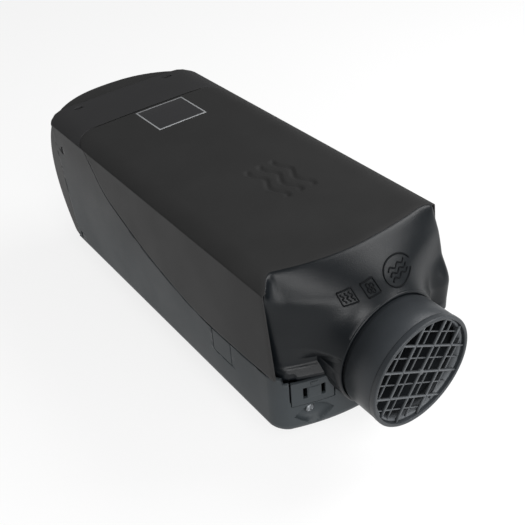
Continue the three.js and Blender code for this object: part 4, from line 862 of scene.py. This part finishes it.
def round_bar(x_ends, y, z, radius, sides=48):
    """Points and faces of a round bar along X: two circles and the faces between and across them."""
    turn = np.linspace(0, 2 * np.pi, sides + 1)[:-1]
    ring_y, ring_z = y + radius * np.cos(turn), z + radius * np.sin(turn)
    rings = [np.stack([np.full(sides, x), ring_y, ring_z], -1) for x in x_ends]
    k = np.arange(sides)
    after = np.roll(k, -1)
    return np.concatenate(rings), [*np.stack([k, after, sides + after, sides + k], -1), k[::-1], k + sides]


def cut_away(built, shapes):
    """Cuts closed shapes, each its points and faces, out of an object's mesh."""
    points, faces = merged(shapes)
    mesh = bpy.data.meshes.new("cutter")
    mesh.from_pydata((points * MM).tolist(), [], [face.tolist() for face in faces])
    cutter = bpy.data.objects.new("cutter", mesh)
    scene.collection.objects.link(cutter)
    cut = built.modifiers.new("cut", "BOOLEAN")
    cut.object = cutter
    cut.solver = "EXACT"
    settle(built)
    bpy.data.objects.remove(cutter)


# windows for the intake grille's hooks, slots for the side tabs and the hole for the cable grommet
slot_y = HOOK_THICK + HOOK_PLAY
windows = [box(around(s * HOOK_X, HOOK_HALF + FIT), around(HOOK_Y, slot_y), (116, 140)) for s in (-1, 1)]
for s in (-1, 1):
    for z in HOOK_SIDE_Z:
        windows.append(box(s * THROUGH, around(HOOK_SIDE_Y, slot_y), around(z, HOOK_SIDE_HALF + FIT)))
windows += [box(s * THROUGH, (TAB_FRONT - SLIT, TAB_BACK + SLIT), (TAB_ROOT, 90)) for s in (-1, 1)]
windows.append(round_bar((60, 90), GROMMET_Y, GROMMET_Z, GROMMET_HOLE))
cut_away(base_piece, windows)
soft_edges(base_piece, 0.35)
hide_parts("lower_casing")

# ---------------------------------------------------------------- latches
# A tongue in the front wall and a tab in each side are moulded in one with the base's ABS. They are free on
# three edges and flex on their roots, so that the hood's barbs and the cover's skirts let go.

SLOT_LEFT, SLOT_RIGHT, SLOT_RISE = around(-53.5, 1.3), around(-42.0, 1.3), around(43.0, 4.8)
tongue_x = spaced(
    (TONGUE_LEFT, SLOT_LEFT[0], 1.2),
    (*SLOT_LEFT, 0.65),
    (SLOT_LEFT[1], SLOT_RIGHT[0], 1.2),
    (*SLOT_RIGHT, 0.65),
    (SLOT_RIGHT[1], TONGUE_RIGHT, 1.0),
)
tongue_z = spaced((TONGUE_ROOT + FIT, SLOT_RISE[0], 1.2), (*SLOT_RISE, 1.6), (SLOT_RISE[1], WALL_TOP, 1.2))
grid_x, grid_z = np.meshgrid(tongue_x, tongue_z, indexing="ij")
tongue, tongue_faces = sheet(np.stack([grid_x, front_place(grid_x), grid_z], -1))
face_x, face_y, face_z = tongue[tongue_faces].mean(1).T
in_slot = np.zeros(len(face_x), bool)
for left_end, right_end in (SLOT_LEFT, SLOT_RIGHT):
    in_slot |= (face_x > left_end) & (face_x < right_end) & (face_z > SLOT_RISE[0]) & (face_z < SLOT_RISE[1])
tongue_piece = make_object(
    "front_tongue", tongue, tongue_faces[~in_slot], base_abs, "front_latch_tongue", "black_plastic"
)
give_wall(tongue_piece, WALL, (0, 0, 40))
soft_edges(tongue_piece, 0.3)
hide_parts("front_latch")


def proud_patch(x_ends, z_ends, height):
    """A small raised patch on the front wall, with its own sides, let into the wall behind it."""
    grid_x, grid_z = np.meshgrid(np.linspace(*x_ends, 7), np.linspace(*z_ends, 5), indexing="ij")
    front, faces = sheet(np.stack([grid_x, front_place(grid_x) - height, grid_z], -1))
    count = len(front)
    index = np.arange(count).reshape(grid_x.shape)
    ring = np.concatenate([index[:, 0], index[-1, 1:], index[-2::-1, -1], index[0, -2:0:-1]])
    after = np.roll(ring, -1)
    sides = np.stack([ring, after, after + count, ring + count], -1)
    rear = front + [0, height + 0.4, 0]
    return np.concatenate([front, rear]), np.concatenate([faces, (faces + count)[:, ::-1], sides])


push_pad = proud_patch(around(-48.0, 3.6), around(43.0, 4.4), 0.5)
small_pad = proud_patch(around(-47.8, 2.4), around(50.8, 1.2), 0.7)
pads = merged([push_pad, small_pad])
pads_piece = make_object("tongue_pads", *pads, base_abs, "front_latch_tongue", "black_plastic")
soft_edges(pads_piece, 0.25)

TAB_TOP = 55.0
tab_y, tab_z = spaced((TAB_FRONT, TAB_BACK, 1.5)), spaced((TAB_ROOT + FIT, TAB_TOP, 1.5))
grid_y, grid_z = np.meshgrid(tab_y, tab_z, indexing="ij")
for name, side, node in (("left_tab", -1, "left_release_tab"), ("right_tab", 1, "right_release_tab")):
    tab = sheet(np.stack([side * side_x(grid_z), grid_y, grid_z], -1))
    tab_piece = make_object(name + "_plate", *tab, base_abs, name, "black_plastic")
    give_wall(tab_piece, WALL, (0, 0, 45))
    soft_edges(tab_piece, 0.4)
    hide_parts(node)

# ---------------------------------------------------------------- front screw
# A self-tapping screw of zinc-plated steel, dull grey and slightly stained, with a domed head and a cross
# recess. It sits at the bottom of the scoop and holds the hood's foot.

SCREW_HEAD, SCREW_DOME, SCREW_SHANK, SCREW_LENGTH = 3.4, 2.1, 1.9, 12.0
RECESS_REACH, RECESS_HALF, RECESS_DEPTH = 2.1, 0.5, 1.1
screw_seat = front_place(SCOOP_X) + SCOOP_DEPTH - FIT
dome = np.linspace(0, 1, 22)
screw_profile = np.concatenate(
    [
        np.stack([SCREW_HEAD * dome, screw_seat - SCREW_DOME * np.sqrt(1 - 0.9 * dome**2)], -1),
        [[SCREW_HEAD, screw_seat], [SCREW_SHANK, screw_seat]],
        [[SCREW_SHANK, screw_seat + SCREW_LENGTH - 2], [0, screw_seat + SCREW_LENGTH]],
    ]
)
screw = revolved(screw_profile, 96, SCOOP_Z)
off_x, off_z = np.abs(screw[..., 0]), np.abs(screw[..., 2] - SCOOP_Z)
in_recess = (np.maximum(off_x, off_z) < RECESS_REACH) & (np.minimum(off_x, off_z) < RECESS_HALF)
in_recess &= screw[..., 1] < screw_seat
screw += np.stack([np.full_like(off_x, SCOOP_X), RECESS_DEPTH * in_recess, np.zeros_like(off_x)], -1)
zinc, tree = new_material("zinc_plated_steel")
place = add_node(tree, "ShaderNodeTexCoord").outputs["Object"]
dulled = add_node(tree, "ShaderNodeTexNoise", Vector=place, Scale=1000 / 1.5, Detail=3.0)
rough = add_node(tree, "ShaderNodeMapRange", Value=dulled, To_Min=0.4, To_Max=0.65)
grey = linear("#7d8083")
shader = add_node(tree, "ShaderNodeBsdfPrincipled", Base_Color=grey, Metallic=1.0, Roughness=rough)
add_node(tree, "ShaderNodeOutputMaterial", Surface=shader)
screw_piece = make_object("hood_screw", *sheet(screw), zinc, "heater_body", "steel")
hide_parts("front_screw")

# ---------------------------------------------------------------- intake grille
# The rear is closed by a domed ABS grille with three columns of slots. Its flanks lean in a little, its rim
# meets the base in a seam that turns forward at the corners, and snap hooks hold it in the base's windows.

REAR_APEX, REAR_TIP, REAR_LEAN = 213.8, 168.0, 5.0
HALF_TALL, MIDDLE_Z = (CREASE + 2 - BOTTOM) / 2, (CREASE + 2 + BOTTOM) / 2
GRILLE_WALL, SLAT_PITCH, SLAT_GAP, SLAT_ROWS = 2.2, 12.0, 7.0, 7
SLAT_COLUMNS, SLAT_INSET = ((-54, -20), (-16.5, 16.5), (20, 54)), 8
HOOK_TOP_Z, HOOK_SIDE_X = (119.5, 123.8), np.array([65.0, 69.4])


def dome_place(x, z):
    """How far back the dome reaches: a blend of two curves, one across and one down, highest in the middle
    and least at the four corners."""
    u, v = np.minimum(np.abs(x / HEAD_HALF), 1.15), np.minimum(np.abs((z - MIDDLE_Z) / HALF_TALL), 1.15)
    across, down = 0.85 * (1 - u**2.5), 0.6 * (1 - v**2)
    return REAR_TIP + (REAR_APEX - REAR_TIP) * (1 - (1 - across) * (1 - down)) + 1


whole_ring = np.concatenate([half_ring * [-1, 1], half_ring[::-1][1:]])
rim_y = REAR_SEAM + FIT - rounded_back(np.minimum(np.abs(whole_ring[:, 0]), FOOT_HALF), FOOT_HALF, REAR_ROUND)
middle = np.array([0.0, MIDDLE_Z])


def leaned(y):
    """The flank's outline at y: the casing's section, drawn in by a lean that grows towards the back."""
    lean = REAR_LEAN * np.clip((y - REAR_TIP + 4) / (REAR_APEX - REAR_TIP + 10), 0, 1)
    return middle + (whole_ring - middle) * (1 - lean[..., None] / np.array([HEAD_HALF, HALF_TALL]))


edge_y = dome_place(*whole_ring.T)
for _ in range(4):
    edge_y = np.maximum(dome_place(*leaned(edge_y).T), rim_y + 0.6)
flank_y = rim_y + (edge_y - rim_y) * np.linspace(0, 1, 7)[:, None]
edge = leaned(edge_y)
inward = spaced((0, 0.1, 0.02), (0.1, 1.0, 0.045))[1:, None]
dome = middle + (edge - middle) * np.maximum(1 - inward, 0.002)[..., None]
dome_y = dome_place(dome[..., 0], dome[..., 1]) + (edge_y - dome_place(*edge.T)) * (1 - inward) ** 6
x, z = np.moveaxis(np.concatenate([leaned(flank_y), dome]), -1, 0)
intake = sheet(np.stack([x, np.concatenate([flank_y, dome_y]), z], -1))
intake_piece = make_object("intake_moulding", *intake, black_abs, "heater_body", "black_plastic")
give_wall(intake_piece, GRILLE_WALL, (0, 150, AXIS), False)
settle(intake_piece)
slats = []
for row in range(SLAT_ROWS):
    off_middle = row - (SLAT_ROWS - 1) / 2
    rise = around(AXIS + 4 + off_middle * SLAT_PITCH, SLAT_GAP / 2)
    limit = SLAT_COLUMNS[-1][1] - (SLAT_INSET if abs(off_middle) > SLAT_ROWS / 2 - 1 else 0)
    for x_ends in SLAT_COLUMNS:
        slats.append(box(np.clip(x_ends, -limit, limit), (REAR_TIP, REAR_APEX + 20), rise))
cut_away(intake_piece, slats)
soft_edges(intake_piece, 0.5, 40)
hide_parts("rear_intake_grille")

hooks = [box(around(s * HOOK_X, HOOK_HALF), around(HOOK_Y, HOOK_THICK), HOOK_TOP_Z) for s in (-1, 1)]
for s in (-1, 1):
    for z in HOOK_SIDE_Z:
        hooks.append(box(s * HOOK_SIDE_X, around(HOOK_SIDE_Y, HOOK_THICK), around(z, HOOK_SIDE_HALF)))
hooks_piece = make_object("intake_hooks", *merged(hooks), black_abs, "heater_body", "black_plastic")
soft_edges(hooks_piece, 0.25)

# ---------------------------------------------------------------- inner pieces
# The heat exchanger, burner, blower, motor and electronics are die-cast aluminium, zinc-plated steel,
# ferrite, rubber and moulded nylon. They are the CAD bodies themselves, with these surfaces.


def cast_metal(name, colour, stained, roughness, scale):
    """Bare metal with a blasted skin: stains of a scale in mm, and a fine uneven sheen."""
    made, tree = new_material(name)
    place = add_node(tree, "ShaderNodeTexCoord").outputs["Object"]
    stains = add_node(tree, "ShaderNodeTexNoise", Vector=place, Scale=1000 / scale, Detail=5.0, Roughness=0.6)
    tint = add_node(tree, "ShaderNodeMix", COLOURS, i0=stains, i6=linear(colour), i7=linear(stained))
    skin = add_node(tree, "ShaderNodeTexNoise", Vector=place, Scale=1000 / 0.7, Detail=2.0)
    bumps = add_node(tree, "ShaderNodeBump", Height=skin, Strength=0.4, Distance=0.2 * MM)
    finish = dict(Metallic=1.0, Roughness=roughness, Normal=bumps)
    shader = add_node(tree, "ShaderNodeBsdfPrincipled", Base_Color=tint.outputs[2], **finish)
    add_node(tree, "ShaderNodeOutputMaterial", Surface=shader)
    return made


surfaces = {
    "black_plastic": black_abs,
    "hood_plastic": hood_nylon,
    "fan_plastic": moulded("moulded_fan_nylon", "#17181a", "#1e2022", 0.5, 1.2, 0.3, 0.3),
    "socket_plastic": moulded("moulded_socket_pbt", "#4f6b57", "#5d7a65", 0.45, 1.0, 0.2, 0.4),
    "rubber": moulded("moulded_epdm_rubber", "#141414", "#1c1c1b", 0.8, 0.6, 0.5, 0.3),
    "magnet": moulded("sintered_ferrite", "#2a2a2c", "#343436", 0.7, 0.4, 0.6, 0.4),
    # painted shade: the aluminium is given a colour far darker than bare metal, for the shade deep inside the
    # casing
    "cast_aluminium": cast_metal("shaded_die_cast_aluminium", "#5c5e60", "#3c3d3f", 0.55, 9.0),
    "steel": zinc,
}
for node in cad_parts.values():
    for holder in node.material_slots:
        holder.material = surfaces[holder.material.name.split(".")[0]]
